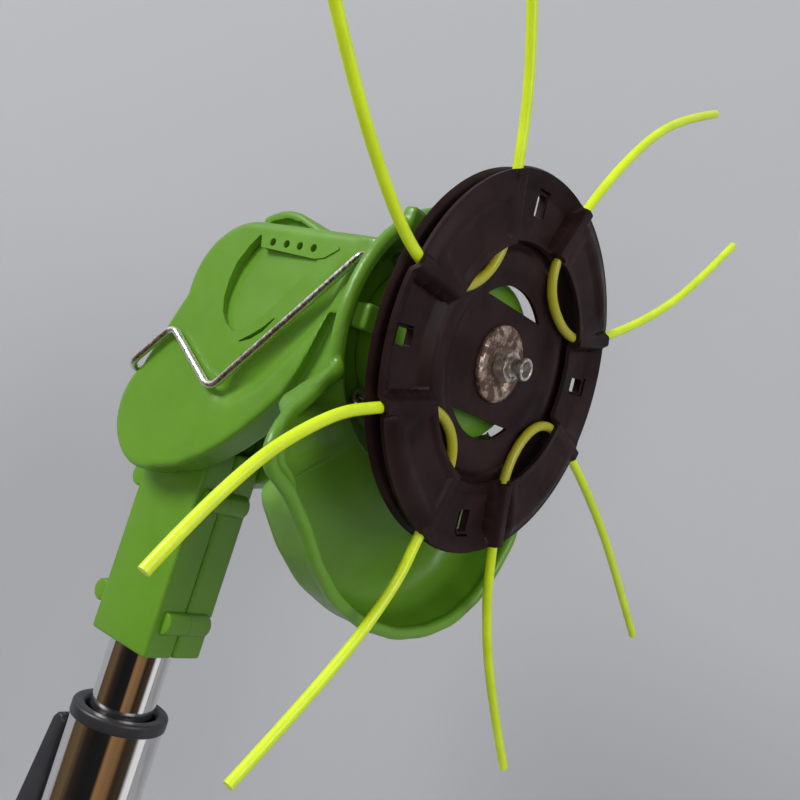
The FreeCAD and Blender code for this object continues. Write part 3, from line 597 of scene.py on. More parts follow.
def rod_tree() -> Tree:
    """Tree that sweeps a round section along a path of edges.

    Returns:
        The tree.
    """
    tree = Tree("rod along path")
    tree.value("Radius", "NodeSocketFloat")
    tree.value("Sides", "NodeSocketInt")
    path = tree.node("GeometryNodeMeshToCurve")
    circle = tree.node("GeometryNodeCurvePrimitiveCircle")
    sweep = tree.node("GeometryNodeCurveToMesh")
    sweep.inputs["Fill Caps"].default_value = True
    tree.link(tree.start.outputs["Geometry"], path.inputs["Mesh"])
    tree.link(tree.start.outputs["Sides"], circle.inputs["Resolution"])
    tree.link(tree.start.outputs["Radius"], circle.inputs["Radius"])
    tree.link(path.outputs["Curve"], sweep.inputs["Curve"])
    tree.link(circle.outputs["Curve"], sweep.inputs["Profile Curve"])
    tree.close(sweep.outputs["Mesh"])
    return tree


def scatter_tree() -> Tree:
    """Tree that sets a copy of one object on each point, turned to an axis.

    Returns:
        The tree.
    """
    tree = Tree("copies on points")
    tree.value("Copy", "NodeSocketObject")
    tree.value("Direction", "NodeSocketVector")
    source = tree.node("GeometryNodeObjectInfo", transform_space="ORIGINAL")
    align = tree.node("FunctionNodeAlignEulerToVector", axis="Z")
    spread = tree.node("GeometryNodeInstanceOnPoints")
    tree.link(tree.start.outputs["Copy"], source.inputs["Object"])
    tree.link(tree.start.outputs["Direction"], align.inputs["Vector"])
    tree.link(tree.start.outputs["Geometry"], spread.inputs["Points"])
    tree.link(source.outputs["Geometry"], spread.inputs["Instance"])
    tree.link(align.outputs["Rotation"], spread.inputs["Rotation"])
    tree.close(spread.outputs["Instances"])
    return tree


# Finishes


def map_range(tree: bpy.types.NodeTree, value: bpy.types.NodeSocket, source: Pair,
              target: Pair) -> bpy.types.NodeSocket:
    """Map a value from one range to another.

    Args:
        tree: The shader tree.
        value: The value's socket.
        source: Where the value starts and ends.
        target: What these two become.

    Returns:
        The mapped value's socket.
    """
    node = tree.nodes.new("ShaderNodeMapRange")
    for socket, number in zip(("From Min", "From Max", "To Min", "To Max"), source + target):
        node.inputs[socket].default_value = number
    tree.links.new(value, node.inputs["Value"])
    return node.outputs["Result"]


def colour_ramp(tree: bpy.types.NodeTree, value: bpy.types.NodeSocket,
                stops: Sequence[tuple[float, Colour]]) -> bpy.types.NodeSocket:
    """Colours along a value.

    Args:
        tree: The shader tree.
        value: The value's socket.
        stops: Pairs of a place from 0 to 1 and the colour there.

    Returns:
        The colour's socket.
    """
    node = tree.nodes.new("ShaderNodeValToRGB")
    band = node.color_ramp
    while len(band.elements) < len(stops):
        band.elements.new(1)
    for element, (place, colour) in zip(band.elements, stops):
        element.position = place
        element.color = (*colour, 1)
    tree.links.new(value, node.inputs["Fac"])
    return node.outputs["Color"]


class Shader:
    """Short hand for building a material's nodes."""

    def __init__(self, name: str) -> None:
        """Start a material with a Principled shader and object coordinates.

        Args:
            name: The material's name.
        """
        self.material = bpy.data.materials.new(name)
        self.material.use_nodes = True
        self.tree = self.material.node_tree
        self.surface = self.tree.nodes["Principled BSDF"]
        self.place = self.tree.nodes.new("ShaderNodeTexCoord").outputs["Object"]

    def put(self, **values: object) -> None:
        """Set the shader's own sockets, with underscores for spaces."""
        for key, value in values.items():
            self.surface.inputs[key.replace("_", " ")].default_value = value

    def near(self, point: Vector, start: float, end: float) -> bpy.types.NodeSocket:
        """Value that goes from 0 to 1 between two distances from a point, in metres.

        Args:
            point: The point.
            start: Distance at which the value is 0.
            end: Distance at which the value is 1.

        Returns:
            The value's socket.
        """
        away = self.tree.nodes.new("ShaderNodeVectorMath")
        away.operation = "DISTANCE"
        away.inputs[1].default_value = point
        self.tree.links.new(self.place, away.inputs[0])
        return self.levels(away.outputs["Value"], 0, 1, start, end)

    def noise(self, scale: float, detail: float = 3, stretch: Vector | None = None,
              rough: float = 0.5) -> bpy.types.NodeSocket:
        """Noise value on object coordinates.

        Args:
            scale: Noise scale in cells per metre.
            detail: Octaves.
            stretch: Scale of each coordinate, or None.
            rough: Share that each octave keeps.

        Returns:
            The noise's value socket.
        """
        place = self.place
        if stretch is not None:
            mapping = self.tree.nodes.new("ShaderNodeMapping")
            mapping.inputs["Scale"].default_value = stretch
            self.tree.links.new(self.place, mapping.inputs["Vector"])
            place = mapping.outputs["Vector"]
        texture = self.tree.nodes.new("ShaderNodeTexNoise")
        texture.inputs["Scale"].default_value = scale
        texture.inputs["Detail"].default_value = detail
        texture.inputs["Roughness"].default_value = rough
        self.tree.links.new(place, texture.inputs["Vector"])
        return texture.outputs["Fac"]

    def ramp(self, value: bpy.types.NodeSocket,
             stops: Sequence[tuple[float, Colour]]) -> bpy.types.NodeSocket:
        """Colour ramp from stops of (place, colour)."""
        return colour_ramp(self.tree, value, stops)

    def levels(self, value: bpy.types.NodeSocket, low: float, high: float,
               start: float = 0.3, end: float = 0.7) -> bpy.types.NodeSocket:
        """Map a value from start and end to low and high."""
        return map_range(self.tree, value, (start, end), (low, high))

    def feed(self, socket: str, source: bpy.types.NodeSocket) -> None:
        """Join a value to one of the shader's sockets."""
        self.tree.links.new(source, self.surface.inputs[socket])

    def bump(self, height: bpy.types.NodeSocket, depth: float, strength: float = 1) -> None:
        """Bump from a height, its depth in millimetres.

        Args:
            height: The height's socket.
            depth: Depth in millimetres.
            strength: Strength of the bump.
        """
        node = self.tree.nodes.new("ShaderNodeBump")
        node.inputs["Distance"].default_value = depth * MM
        node.inputs["Strength"].default_value = strength
        self.tree.links.new(height, node.inputs["Height"])
        self.feed("Normal", node.outputs["Normal"])


@dataclass(frozen=True)
class MouldedPlastic:
    """Moulded plastic with faint flow marks and a fine grain."""

    name: str
    light: Colour
    dark: Colour
    roughness: float = 0.4
    grain: float = 0.02
    glow: float = 0.0

    def material(self) -> bpy.types.Material:
        """Build the material.

        Returns:
            The material.
        """
        shader = Shader(self.name)
        cloud = shader.noise(38, 4)
        shader.feed("Base Color", shader.ramp(cloud, [(0.3, self.dark), (0.7, self.light)]))
        smear = shader.noise(160, 3)
        shader.feed("Roughness", shader.levels(smear, self.roughness - 0.05,
                                               self.roughness + 0.07))
        shader.put(Specular_IOR_Level=0.45, Subsurface_Weight=self.glow)
        shader.surface.inputs["Subsurface Radius"].default_value = (0.002, 0.004, 0.0008)
        shader.bump(shader.noise(1800, 2), self.grain)
        return shader.material


@dataclass(frozen=True)
class PolishedMetal:
    """Plated or polished metal with fine lengthwise wipe marks."""

    name: str
    colour: Colour
    roughness: float = 0.08
    stretch: tuple[float, float, float] = (1, 1, 0.03)

    def material(self) -> bpy.types.Material:
        """Build the material.

        Returns:
            The material.
        """
        shader = Shader(self.name)
        streak = shader.noise(700, 4, Vector(self.stretch), 0.6)
        dim = tuple(part * 0.86 for part in self.colour)
        shader.feed("Base Color", shader.ramp(streak, [(0.35, dim), (0.65, self.colour)]))
        shader.feed("Roughness", shader.levels(streak, self.roughness * 0.7,
                                               self.roughness * 1.8))
        shader.put(Metallic=1.0)
        shader.bump(streak, 0.004, 0.6)
        return shader.material


@dataclass(frozen=True)
class CoatedSheet:
    """Dark coated pressed sheet with dusty smudges."""

    name: str
    light: Colour
    dark: Colour
    roughness: float = 0.42

    def material(self) -> bpy.types.Material:
        """Build the material.

        Returns:
            The material.
        """
        shader = Shader(self.name)
        cloud = shader.noise(55, 5, rough=0.6)
        shader.feed("Base Color", shader.ramp(cloud, [(0.32, self.dark), (0.7, self.light)]))
        smudge = shader.noise(130, 4)
        shader.feed("Roughness", shader.levels(smudge, self.roughness - 0.08,
                                               self.roughness + 0.14))
        shader.put(Specular_IOR_Level=0.09)
        shader.bump(shader.noise(900, 3), 0.012)
        return shader.material


@dataclass(frozen=True)
class RustedSteel:
    """Steel with rust patches, pits and bright worn spots."""

    name: str
    bare: Colour
    rust: Colour
    share: float = 0.5

    def material(self) -> bpy.types.Material:
        """Build the material.

        Returns:
            The material.
        """
        shader = Shader(self.name)
        patch = shader.noise(260, 6, rough=0.62)
        start = self.share - 0.06
        dusty = tuple((a + b) / 2 for a, b in zip(self.bare, self.rust))
        shader.feed("Base Color", shader.ramp(
            patch, [(start, self.rust), (self.share, dusty), (self.share + 0.05, self.bare)]))
        shader.feed("Metallic", shader.levels(patch, 0.05, 0.9, start, self.share + 0.06))
        shader.feed("Roughness", shader.levels(patch, 0.75, 0.34, start, self.share + 0.06))
        shader.bump(shader.noise(520, 6, rough=0.7), 0.25, 0.8)
        return shader.material


@dataclass(frozen=True)
class NylonLine:
    """Dyed nylon that lets a little light through, with painted shade where it runs in the disc.
    """

    name: str
    light: Colour
    dark: Colour
    # Painted shade: a darker olive colour for the line inside the disc, where it lies in shade
    # between the plates.
    painted_inner_shade: Colour = (0.30, 0.28, 0.008)

    def material(self) -> bpy.types.Material:
        """Build the material.

        Returns:
            The material.
        """
        shader = Shader(self.name)
        cloud = shader.noise(90, 3)
        line_tone = shader.ramp(cloud, [(0.3, self.dark), (0.7, self.light)])
        blend = shader.tree.nodes.new("ShaderNodeMix")
        blend.data_type = "RGBA"
        # Painted shade: the line takes the darker colour within 36 mm of the disc's centre,
        # fading to its own colour by 56 mm.
        shader.tree.links.new(shader.near(DISC, 0.036, 0.056), blend.inputs["Factor"])
        colours = [socket for socket in blend.inputs if socket.type == "RGBA"]
        colours[0].default_value = (*self.painted_inner_shade, 1)
        shader.tree.links.new(line_tone, colours[1])
        mixed = next(socket for socket in blend.outputs if socket.type == "RGBA")
        shader.feed("Base Color", mixed)
        shader.feed("Roughness", shader.levels(shader.noise(400, 2), 0.28, 0.42))
        shader.put(Subsurface_Weight=0.35, Specular_IOR_Level=0.5)
        shader.surface.inputs["Subsurface Radius"].default_value = (0.003, 0.003, 0.0005)
        shader.bump(shader.noise(1500, 2), 0.01)
        return shader.material


class Finish(Enum):
    """Finishes of the object's surfaces."""

    GREEN = MouldedPlastic("green_plastic", (0.094, 0.226, 0.0115), (0.080, 0.195, 0.010), 0.36,
                           glow=0.06)
    BLACK = MouldedPlastic("black_plastic", (0.020, 0.020, 0.023), (0.012, 0.012, 0.014), 0.42)
    CHROME = PolishedMetal("chrome_tube", (0.80, 0.79, 0.78), 0.07)
    WIRE = PolishedMetal("chrome_wire", (0.86, 0.84, 0.80), 0.24, (1, 1, 1))
    STEEL = PolishedMetal("plain_steel", (0.56, 0.56, 0.57), 0.25, (0.2, 1, 1))
    BRASS = PolishedMetal("brass_bush", (0.70, 0.50, 0.22), 0.25, (1, 1, 1))
    SHEET = CoatedSheet("dark_sheet", (0.020, 0.009, 0.009), (0.008, 0.003, 0.003))
    RUSTED = RustedSteel("rusted_steel", (0.40, 0.31, 0.26), (0.065, 0.032, 0.02), 0.54)
    WORN = RustedSteel("worn_steel", (0.50, 0.47, 0.43), (0.10, 0.07, 0.05), 0.44)
    NYLON = NylonLine("nylon_line", (0.52, 0.65, 0.006), (0.44, 0.56, 0.005))
    MAGNET = CoatedSheet("magnet", (0.03, 0.03, 0.032), (0.015, 0.015, 0.016), 0.6)
    CARBON = CoatedSheet("carbon", (0.02, 0.02, 0.02), (0.012, 0.012, 0.012), 0.7)


class Paint:
    """Gives pieces and carried nodes their materials."""

    def __init__(self) -> None:
        """Start with no material made."""
        self.made: dict[Finish, bpy.types.Material] = {}

    def of(self, finish: Finish) -> bpy.types.Material:
        """The finish's material, made once.

        Args:
            finish: The finish.

        Returns:
            The material.
        """
        if finish not in self.made:
            self.made[finish] = finish.value.material()
        return self.made[finish]

    def coat(self, piece: bpy.types.Object, finish: Finish) -> bpy.types.Object:
        """Put one finish on a whole piece.

        Args:
            piece: The object.
            finish: Its finish.

        Returns:
            The same object.
        """
        piece.data.materials.clear()
        piece.data.materials.append(self.of(finish))
        return piece

    def dress(self, piece: bpy.types.Object, finish: Finish, body: str, slot: str,
              *nodes: str) -> bpy.types.Object:
        """Finish a piece, set it on its body and let it stand for nodes.

        Args:
            piece: The finished object.
            finish: Its finish.
            body: The body it rides on.
            slot: The record's material slot; not used.
            *nodes: The nodes that it stands for.

        Returns:
            The same piece.
        """
        self.coat(piece, finish)
        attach(piece, body)
        if nodes:
            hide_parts(*nodes)
        LOG.info("%s: %d faces on %s", piece.name, len(piece.data.polygons), body)
        return piece


CARRIED = {
    Finish.BLACK: ("guide_sleeve", "motor_end_cap", "brush_holder"),
    Finish.BRASS: ("clamp_shoe", "pivot_sleeve", "commutator"),
    Finish.STEEL: ("lever_pin", "tube_pin", "pivot_nut", "pivot_bolt", "motor_can",
                   "rear_bearing", "front_bearing", "motor_shaft", "armature"),
    Finish.MAGNET: ("motor_magnets",),
    Finish.CARBON: ("motor_brushes",),
}


def screw_set(place: str, seats: Sequence[Vector], direction: tuple[int, int, int],
              paint: Paint, scatter: Tree, screw: bpy.types.Object) -> None:
    """Set a screw on each seat and dress the set as one piece.

    Args:
        place: What the screws hold: neck, housing or guard.
        seats: Where the heads sit, in metres.
        direction: The way that the heads face.
        paint: The materials.
        scatter: Tree that sets copies on points.
        screw: The screw that is copied.
    """
    screws = mesh_piece(place + "_screw_set", seats, [])
    scatter.run(screws, Copy=screw, Direction=direction, Material=paint.of(Finish.STEEL))
    body = "neck" if place == "neck" else "head"
    paint.dress(screws, Finish.STEEL, body, "steel", place + "_screws")


# Telescopic pole


@dataclass
class Pole:
    """Outer tube with its collar and flip lever, and the inner tube."""

    outer_radius: float = 16.3
    outer_wall: float = 1.5
    seat_bore: float = 14.55
    seat_start: float = 43.5
    inner_radius: float = 11.2
    inner_wall: float = 1.4
    collar_radius: float = 16.9
    collar_bore: float = 12.5
    steps: int = 128
    lug: Pair = (3.2, 5.8)
    lug_radius: float = 3.0
    lug_back: float = -17.5
    block_front: float = -15.6
    bar_front: float = -15.4
    root_front: float = -14.0
    lug_height: float = 2.6
    lug_round: float = 0.4
    tube_gap: float = 0.02
    # Lever outline: its root from the pin, then its tip with back in the frame
    lever_root: list[Pair] = field(default_factory=lambda: [
        (3.1, 1), (1.5, 2.9), (-1.2, 2.9), (-3.0, 0.6)])
    lever_tip: list[Pair] = field(default_factory=lambda: [
        (-31.4, -50), (-33.6, -62), (-31.6, -67), (-27.4, -65)])
    lever_belly: Pair = (3.2, -38)
    lever_half_width: float = 9.0
    lever_slot: Pair = (2.8, 6.2)
    lever_slope: float = 0.22
    grooves: int = 4
    groove_top: float = 44.0
    groove_pitch: float = 4.4
    groove_back: float = -29.9
    groove_depth: float = 0.4
    groove_half_width: float = 6.5
    groove_half_height: float = 0.7

    def tube(self, name: str, radius: float, wall: float, node: str) -> bpy.types.Object:
        """Turned tube with softened ends over the height of a node.

        Args:
            name: The piece's name.
            radius: Outer radius in millimetres.
            wall: Wall in millimetres.
            node: The node whose height it takes.

        Returns:
            The tube.
        """
        low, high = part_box(node)
        bottom, top = low.z / MM, high.z / MM
        corners = [(bottom, radius - wall), (bottom, radius), (top, radius)]
        if node == "outer_tube":
            corners += [(top, self.seat_bore), (self.seat_start, self.seat_bore),
                        (self.seat_start, radius - wall)]
        else:
            corners.append((top, radius - wall))
        return shaded(turned(name, flat_path(corners, 0.1, 3), Vector(), Axis.UP, self.steps))

    def collar(self) -> bpy.types.Object:
        """Black ring on the tube with its two lever lugs.

        Returns:
            The collar.
        """
        low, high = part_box("outer_tube")
        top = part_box("pole_collar")[1].z / MM
        base = high.z / MM
        corners = [(base, self.collar_bore), (base - 0.1, self.collar_radius),
                   (top, self.collar_radius), (top, self.collar_bore + 0.8),
                   (base + 3, self.collar_bore)]
        piece = turned("collar_ring", flat_path(corners, [0.3, 0.5, 1.1, 0.8, 0.3], 4),
                       Vector(), Axis.UP, self.steps)
        pin = joint_place("lever_flip")
        for side in SIDES:
            low_y, high_y = span(side, *self.lug)
            cut(piece, peg("lug_eye", (low_y, high_y), self.lug_radius, pin, Axis.ACROSS, 32),
                "UNION")
            block = brick("lug_block", pin + spot(0, low_y, -self.lug_radius),
                          spot(self.block_front, high_y, pin.z / MM + self.lug_radius))
            bar = brick("lug_bar", spot(self.lug_back, low_y, pin.z / MM),
                        spot(self.bar_front, high_y, base + self.lug_height), self.lug_round)
            cut(piece, block, "UNION")
            cut(piece, bar, "UNION")
        root = brick("lug_root", spot(self.lug_back, -self.lug[1], base),
                     spot(self.root_front, self.lug[1], base + self.lug_height), self.lug_round)
        cut(piece, root, "UNION")
        cut(piece, peg("tube_room", (60, base - 0.12), self.outer_radius + self.tube_gap,
                       Vector(), Axis.UP, self.steps))
        piece.name = "pole_collar_ring"
        return shaded(piece, 30)

    def lever(self) -> bpy.types.Object:
        """Flip lever that widens towards its tip, with finger ribs on its back.

        Returns:
            The lever.
        """
        pin = joint_place("lever_flip") / MM
        outline = [(pin.x + back, pin.z + rise) for back, rise in self.lever_root]
        outline += [(back, pin.z + rise) for back, rise in self.lever_tip]
        outline.append((pin.x + self.lever_belly[0], pin.z + self.lever_belly[1]))
        smooth = flat_path(outline, [0.8, 1, 1, 1.4, 10, 2.2, 2.2, 2.2, 8], 5)
        centre = DISC / MM
        local = [(x - centre.x, z - centre.z) for x, z in smooth]
        wide = self.lever_half_width
        piece = bevelled(extruded("clamp_lever_blade", local, -wide, wide), 1.2, 4, 50)
        for side in SIDES:
            low_y, high_y = span(side, *self.lever_slot)
            cut(piece, brick("lever_slot", spot(-60, low_y, pin.z - 13),
                             spot(0, high_y, pin.z + 8)))
        for step in range(self.grooves):
            height = pin.z - self.groove_top - self.groove_pitch * step
            reach = self.groove_back - self.lever_slope * self.groove_pitch * step
            reach -= self.groove_depth
            low = spot(reach - 3, -self.groove_half_width, height - self.groove_half_height)
            high = spot(reach, self.groove_half_width, height + self.groove_half_height)
            cut(piece, brick("lever_groove", low, high, 0.3))
        return shaded(piece, 30)

    def build(self, paint: Paint) -> None:
        """Make and dress the pole's pieces.

        Args:
            paint: The materials.
        """
        outer = self.tube("outer_tube_skin", self.outer_radius, self.outer_wall, "outer_tube")
        paint.dress(outer, Finish.CHROME, "pole", "chrome_tube", "outer_tube")
        inner = self.tube("inner_tube_skin", self.inner_radius, self.inner_wall, "inner_tube")
        paint.dress(inner, Finish.CHROME, "neck", "chrome_tube", "inner_tube")
        paint.dress(self.collar(), Finish.BLACK, "pole", "black_plastic", "pole_collar")
        paint.dress(self.lever(), Finish.BLACK, "lever", "black_plastic", "clamp_lever")


# Neck


@dataclass
class Neck:
    """Two moulded halves round the inner tube, with screw bosses on their edges."""

    back: float = -14.5
    front: float = 16.5
    half_width: float = 12.5
    split: float = 0.06
    eye_radius: float = 14.5
    bottom: float = 111.5
    boss_radius: float = 4.0
    boss_reach: float = 9.5
    web_reach: float = 9.4
    web_half_height: float = 3.4
    boss_front: float = 16.6
    boss_back: float = -19.6
    boss_drop: float = 0.6
    boss_heights: tuple[float, float] = (167.0, 124.0)
    tube_bore: float = 11.28
    tube_end: float = 150.3
    cable_bore: float = 6.0
    sleeve_bore: float = 6.02
    shank_radius: float = 1.52
    head_radius: float = 2.85

    def bosses(self) -> list[Pair]:
        """Back and height of the four screw bosses in millimetres."""
        return [(reach, height - drop) for height in self.boss_heights
                for reach, drop in ((self.boss_front, 0), (self.boss_back, self.boss_drop))]

    def stub(self, reach: float, radius: float, edge: float, steps: int) -> list[Pair]:
        """Profile of a round stub from the outside to the middle plane.

        Args:
            reach: How far it stands from the middle plane.
            radius: Its radius.
            edge: Rounding of its outer edge.
            steps: Points along the rounding.

        Returns:
            The closed outline of (along, radius) pairs.
        """
        return flat_path([(-reach, 0), (-reach, radius), (-self.split, radius),
                          (-self.split, 0)], [0, edge, 0, 0], steps)

    def half(self) -> bpy.types.Object:
        """Near half of the neck.

        Returns:
            The half.
        """
        body = brick("neck_half", spot(self.back, -self.half_width, self.bottom),
                     spot(self.front, -self.split, (PIVOT / MM).z - 6))
        bevelled(body, 1.3, 4)
        crown = self.stub(self.half_width, self.eye_radius, 1.2, 4)
        cut(body, turned("neck_crown", crown, PIVOT, Axis.ACROSS, 96), "UNION")
        for reach, height in self.bosses():
            low, high = sorted((reach, 0.6 * (self.front if reach > 0 else self.back)))
            web = brick("boss_web", spot(low, -self.web_reach, height - self.web_half_height),
                        spot(high, -self.split, height + self.web_half_height), 0.4)
            cut(body, web, "UNION")
            boss = self.stub(self.boss_reach, self.boss_radius, 0.8, 3)
            cut(body, turned("neck_boss", boss, spot(reach, 0, height), Axis.ACROSS, 40),
                "UNION")
        cut(body, peg("tube_room", (60, self.tube_end), self.tube_bore, Vector(), Axis.UP, 96))
        cut(body, peg("cable_room", (140, 178), self.cable_bore, Vector(), Axis.UP, 32))
        cut(body, peg("eye_room", (-20, 20), self.sleeve_bore, PIVOT, Axis.ACROSS, 48))
        body.name = "neck_half_near"
        return shaded(body, 30)

    def build(self, paint: Paint, scatter: Tree, screw: bpy.types.Object) -> None:
        """Make and dress both halves and the neck's screws.

        Args:
            paint: The materials.
            scatter: Tree that sets copies on points.
            screw: The screw that is copied.
        """
        near = self.half()
        far = mirrored(near, "neck_half_far")
        for reach, height in self.bosses():
            place = spot(reach, 0, height)
            for piece, ends in ((near, (-7, 1)), (far, (-1, 7.2))):
                cut(piece, peg("shank_room", ends, self.shank_radius, place, Axis.ACROSS, 20))
            cut(far, peg("head_room", (7, 14), self.head_radius, place, Axis.ACROSS, 32))
        paint.dress(near, Finish.GREEN, "neck", "green_plastic", "neck_shell_near")
        paint.dress(shaded(far, 30), Finish.GREEN, "neck", "green_plastic", "neck_shell_far")
        seats = [spot(reach, self.web_reach, height) for reach, height in self.bosses()]
        screw_set("neck", seats, (0, 1, 0), paint, scatter, screw)


# Head housing


@dataclass
class Housing:
    """Moulded shell round the motor, with its ears, vents and relief."""

    half_width: float = 25.0
    half_slot: float = 13.0
    side_step: float = 4.0
    dome_radius: float = 25.0
    dome_back: float = -89.8
    dome_rise: float = 1.0
    front: float = -37.5
    ear_radius: float = 20.0
    wall: float = 3.0
    paddle: list[Pair] = field(default_factory=lambda: [
        (-91.5, -58.8), (-81.6, -52.9), (-74.3, -47.4), (-67.7, -41.3), (-60.9, -33.9)])
    crease: list[Pair] = field(default_factory=lambda: [
        (-55.8, -27.4), (-51.7, -17), (-49, -3.9), (-45.5, 12.3), (-41.5, 15.8)])
    channel: list[Pair] = field(default_factory=lambda: [
        (-112.1, -16.1), (-99.4, -22.7), (-87.4, -29), (-82.5, -30.7), (-77, -29.6),
        (-70.4, -25.6), (-61.9, -14.1), (-56.3, -6.7), (-50, 3.6), (-44.2, 14.1)])
    leaf: list[Pair] = field(default_factory=lambda: [
        (-86.8, 21.5), (-90.5, 16.9), (-94, 10.6), (-95, 4.2), (-94.7, -1.7), (-92.8, -6.6),
        (-89.7, -9.9), (-85.2, -11.9), (-80.2, -10.1), (-75, -5.9), (-70.3, -0.8), (-65.9, 4.8),
        (-63.1, 8.4), (-57, 15.8), (-59.7, 16.4), (-84.2, 17.6)])
    hood_arch: list[Pair] = field(default_factory=lambda: [
        (-101, 10), (-101, 30.6), (-90, 35.4), (-71, 28.6), (-71, 10)])
    hood_pocket: list[Pair] = field(default_factory=lambda: [
        (-97.4, 26.2), (-97.4, 28.8), (-90, 30.8), (-83, 30.2), (-75.6, 27.4), (-75.6, 26.2)])
    hood_half_width: float = 14.0
    pocket_floor: float = 11.6
    body_round: float = 2.8
    ear_round: float = 2.0
    voxel: float = 0.56
    strip: list[Pair] = field(default_factory=lambda: [
        (-86.2, 22.1), (-84.6, 16.9), (-59.7, 15.7), (-55.7, 16.5), (-49.8, 20.4)])
    vents: tuple[float, ...] = (-79.8, -73.4, -67.4, -61.3)
    vent_rise: float = 19.0
    screws: tuple[Pair, ...] = ((-54, 21.8), (-104.5, 14.5), (-104.5, -12.5))
    vent_radius: float = 1.3
    slots: tuple[tuple[Pair, ...], ...] = (
        ((-81, -14.6), (-76.5, -12.3), (-72.3, -9.2), (-68.6, -4.9)),
        ((-78.2, -18.9), (-74, -16.2)))
    slot_half_width: float = 0.6
    slot_tip: float = 0.25
    channel_depth: float = 1.8
    channel_width: float = 3.4
    leaf_depth: float = 2.6
    leaf_run: float = 27.0
    leaf_top: Pair = (-94, 4)
    leaf_slope: Pair = (0.82, 0.57)
    strip_top: float = 25.45
    boss_radius: float = 4.0
    neck_room: float = 15.35
    pivot_wall: float = 18.3
    bolt_bore: float = 4.05
    bolt_seat: float = 7.1
    spindle_bore: float = 8.0
    wire_bore: float = 1.42
    head_bore: float = 2.8
    shank_bore: float = 1.55
    half_split: float = 0.07

    def arm(self) -> list[Pair]:
        """Side outline of the arm from the pivot ear to the crease.

        Returns:
            The outline's (back, rise) pairs.
        """
        pivot = (PIVOT - DISC) / MM
        below, above = [(pivot.x + self.ear_radius * math.cos(math.radians(angle)),
                         pivot.z + self.ear_radius * math.sin(math.radians(angle)))
                        for angle in (-62, 135)]
        back = self.dome_back - self.dome_radius + 2.5
        return [below, *self.paddle, *self.crease, (-41.5, self.dome_rise),
                (back, self.dome_rise), above]

    def recess(self, name: str, shift: float, depth: float, side: int) -> bpy.types.Object:
        """Cutter for the lower part of one side, in front of the crease.

        Args:
            name: The cutter's name.
            shift: Millimetres by which the crease is moved back.
            depth: Distance from the middle plane in millimetres.
            side: -1 for the near side, 1 for the far side.

        Returns:
            The cutter.
        """
        crease = [(back - shift, rise + shift / 2) for back, rise in self.crease]
        outline = crease + [(-28, crease[-1][1]), (-28, crease[0][1])]
        low, high = span(side, depth, 60)
        return extruded(name, outline, low, high)

    def hood(self) -> bpy.types.Object:
        """Raised block on top, arched along its length, with a pocket in each side.

        Returns:
            The block.
        """
        arch = flat_path(self.hood_arch, [0, 1.5, 20, 1.5, 0], 14)
        wide = self.hood_half_width
        block = bevelled(extruded("hood", arch, -wide, wide), 1.2, 3, 60)
        for side in SIDES:
            ends = span(side, self.pocket_floor, wide + 2)
            cut(block, extruded("hood_pocket", self.hood_pocket, *ends))
        return block

    def skin(self) -> bpy.types.Object:
        """Outer form of both halves as one skin.

        Returns:
            The closed form.
        """
        wide = self.half_width
        low = self.dome_rise - self.dome_radius
        high = self.dome_rise + self.dome_radius
        corners = [(-wide, 0), (-wide, self.dome_radius), (wide, self.dome_radius), (wide, 0)]
        edge = self.body_round
        dome = turned("dome", flat_path(corners, [0, edge, edge, 0], 6),
                      at(self.dome_back, 0, self.dome_rise), Axis.ACROSS, 160)
        barrel = brick("barrel", at(self.dome_back, -wide, low),
                       at(self.front - 3, wide, high), edge)
        front = brick("front_face", at(self.front - 8, -wide, low + 0.5),
                      at(self.front, wide, high - 0.5), 1.2)
        parts = [dome, self.hood()]
        for block in (barrel, front):
            for side in SIDES:
                cut(block, self.recess("side_recess", 0, wide - self.side_step, side))
            parts.append(block)
        for side in SIDES:
            inner, outer = span(side, self.half_slot, wide)
            ear_corners = [(inner, 0), (inner, self.ear_radius), (outer, self.ear_radius),
                           (outer, 0)]
            radii = [0, self.ear_round, self.ear_round, 0]
            parts.append(turned("ear", flat_path(ear_corners, radii, 5), PIVOT, Axis.ACROSS,
                                96))
            parts.append(bevelled(extruded("arm", self.arm(), inner, outer), 1.6, 4, 50))
        return fused(joined("housing_skin", parts), self.voxel, 7)

    def relief(self, piece: bpy.types.Object) -> None:
        """Press the shallow channel round the arm into both sides.

        Args:
            piece: The skin of the housing.
        """
        places = corners_of(piece)
        back, side, rise = places[:, 0], places[:, 1], places[:, 2]
        flat = step_between(self.half_width - 2.5, self.half_width - 0.8, np.abs(side))
        away = path_distance(self.channel, back, rise)
        fade = step_between(-94, -78, back) * (1 - step_between(-50, -44, back))
        dip = self.channel_depth * np.exp(-(away / self.channel_width) ** 2)
        side -= np.sign(side) * dip * fade * flat
        set_corners(piece, places)

    def leaf_cutter(self, side: int) -> bpy.types.Object:
        """Cutter for the leaf, whose floor rises to the surface at its lower front.

        Args:
            side: -1 for the near side, 1 for the far side.

        Returns:
            The closed cutter.
        """
        outline = flat_path(self.leaf, [0.8] + [1.5] * (len(self.leaf) - 3) + [0.3, 0.3], 3)
        count = len(outline)
        points = []
        for back, rise in outline:
            reach = (back - self.leaf_top[0]) * self.leaf_slope[0]
            reach -= (rise - self.leaf_top[1]) * self.leaf_slope[1]
            depth = self.leaf_depth * (1 - reach / self.leaf_run)
            points.append(at(back, side * (self.half_width - depth), rise))
        points += [at(back, side * 40, rise) for back, rise in outline]
        faces = [[index, (index + 1) % count, (index + 1) % count + count, index + count]
                 for index in range(count)]
        faces += [list(range(count)), list(range(2 * count - 1, count - 1, -1))]
        return outward(mesh_piece("leaf_cutter", points, faces))

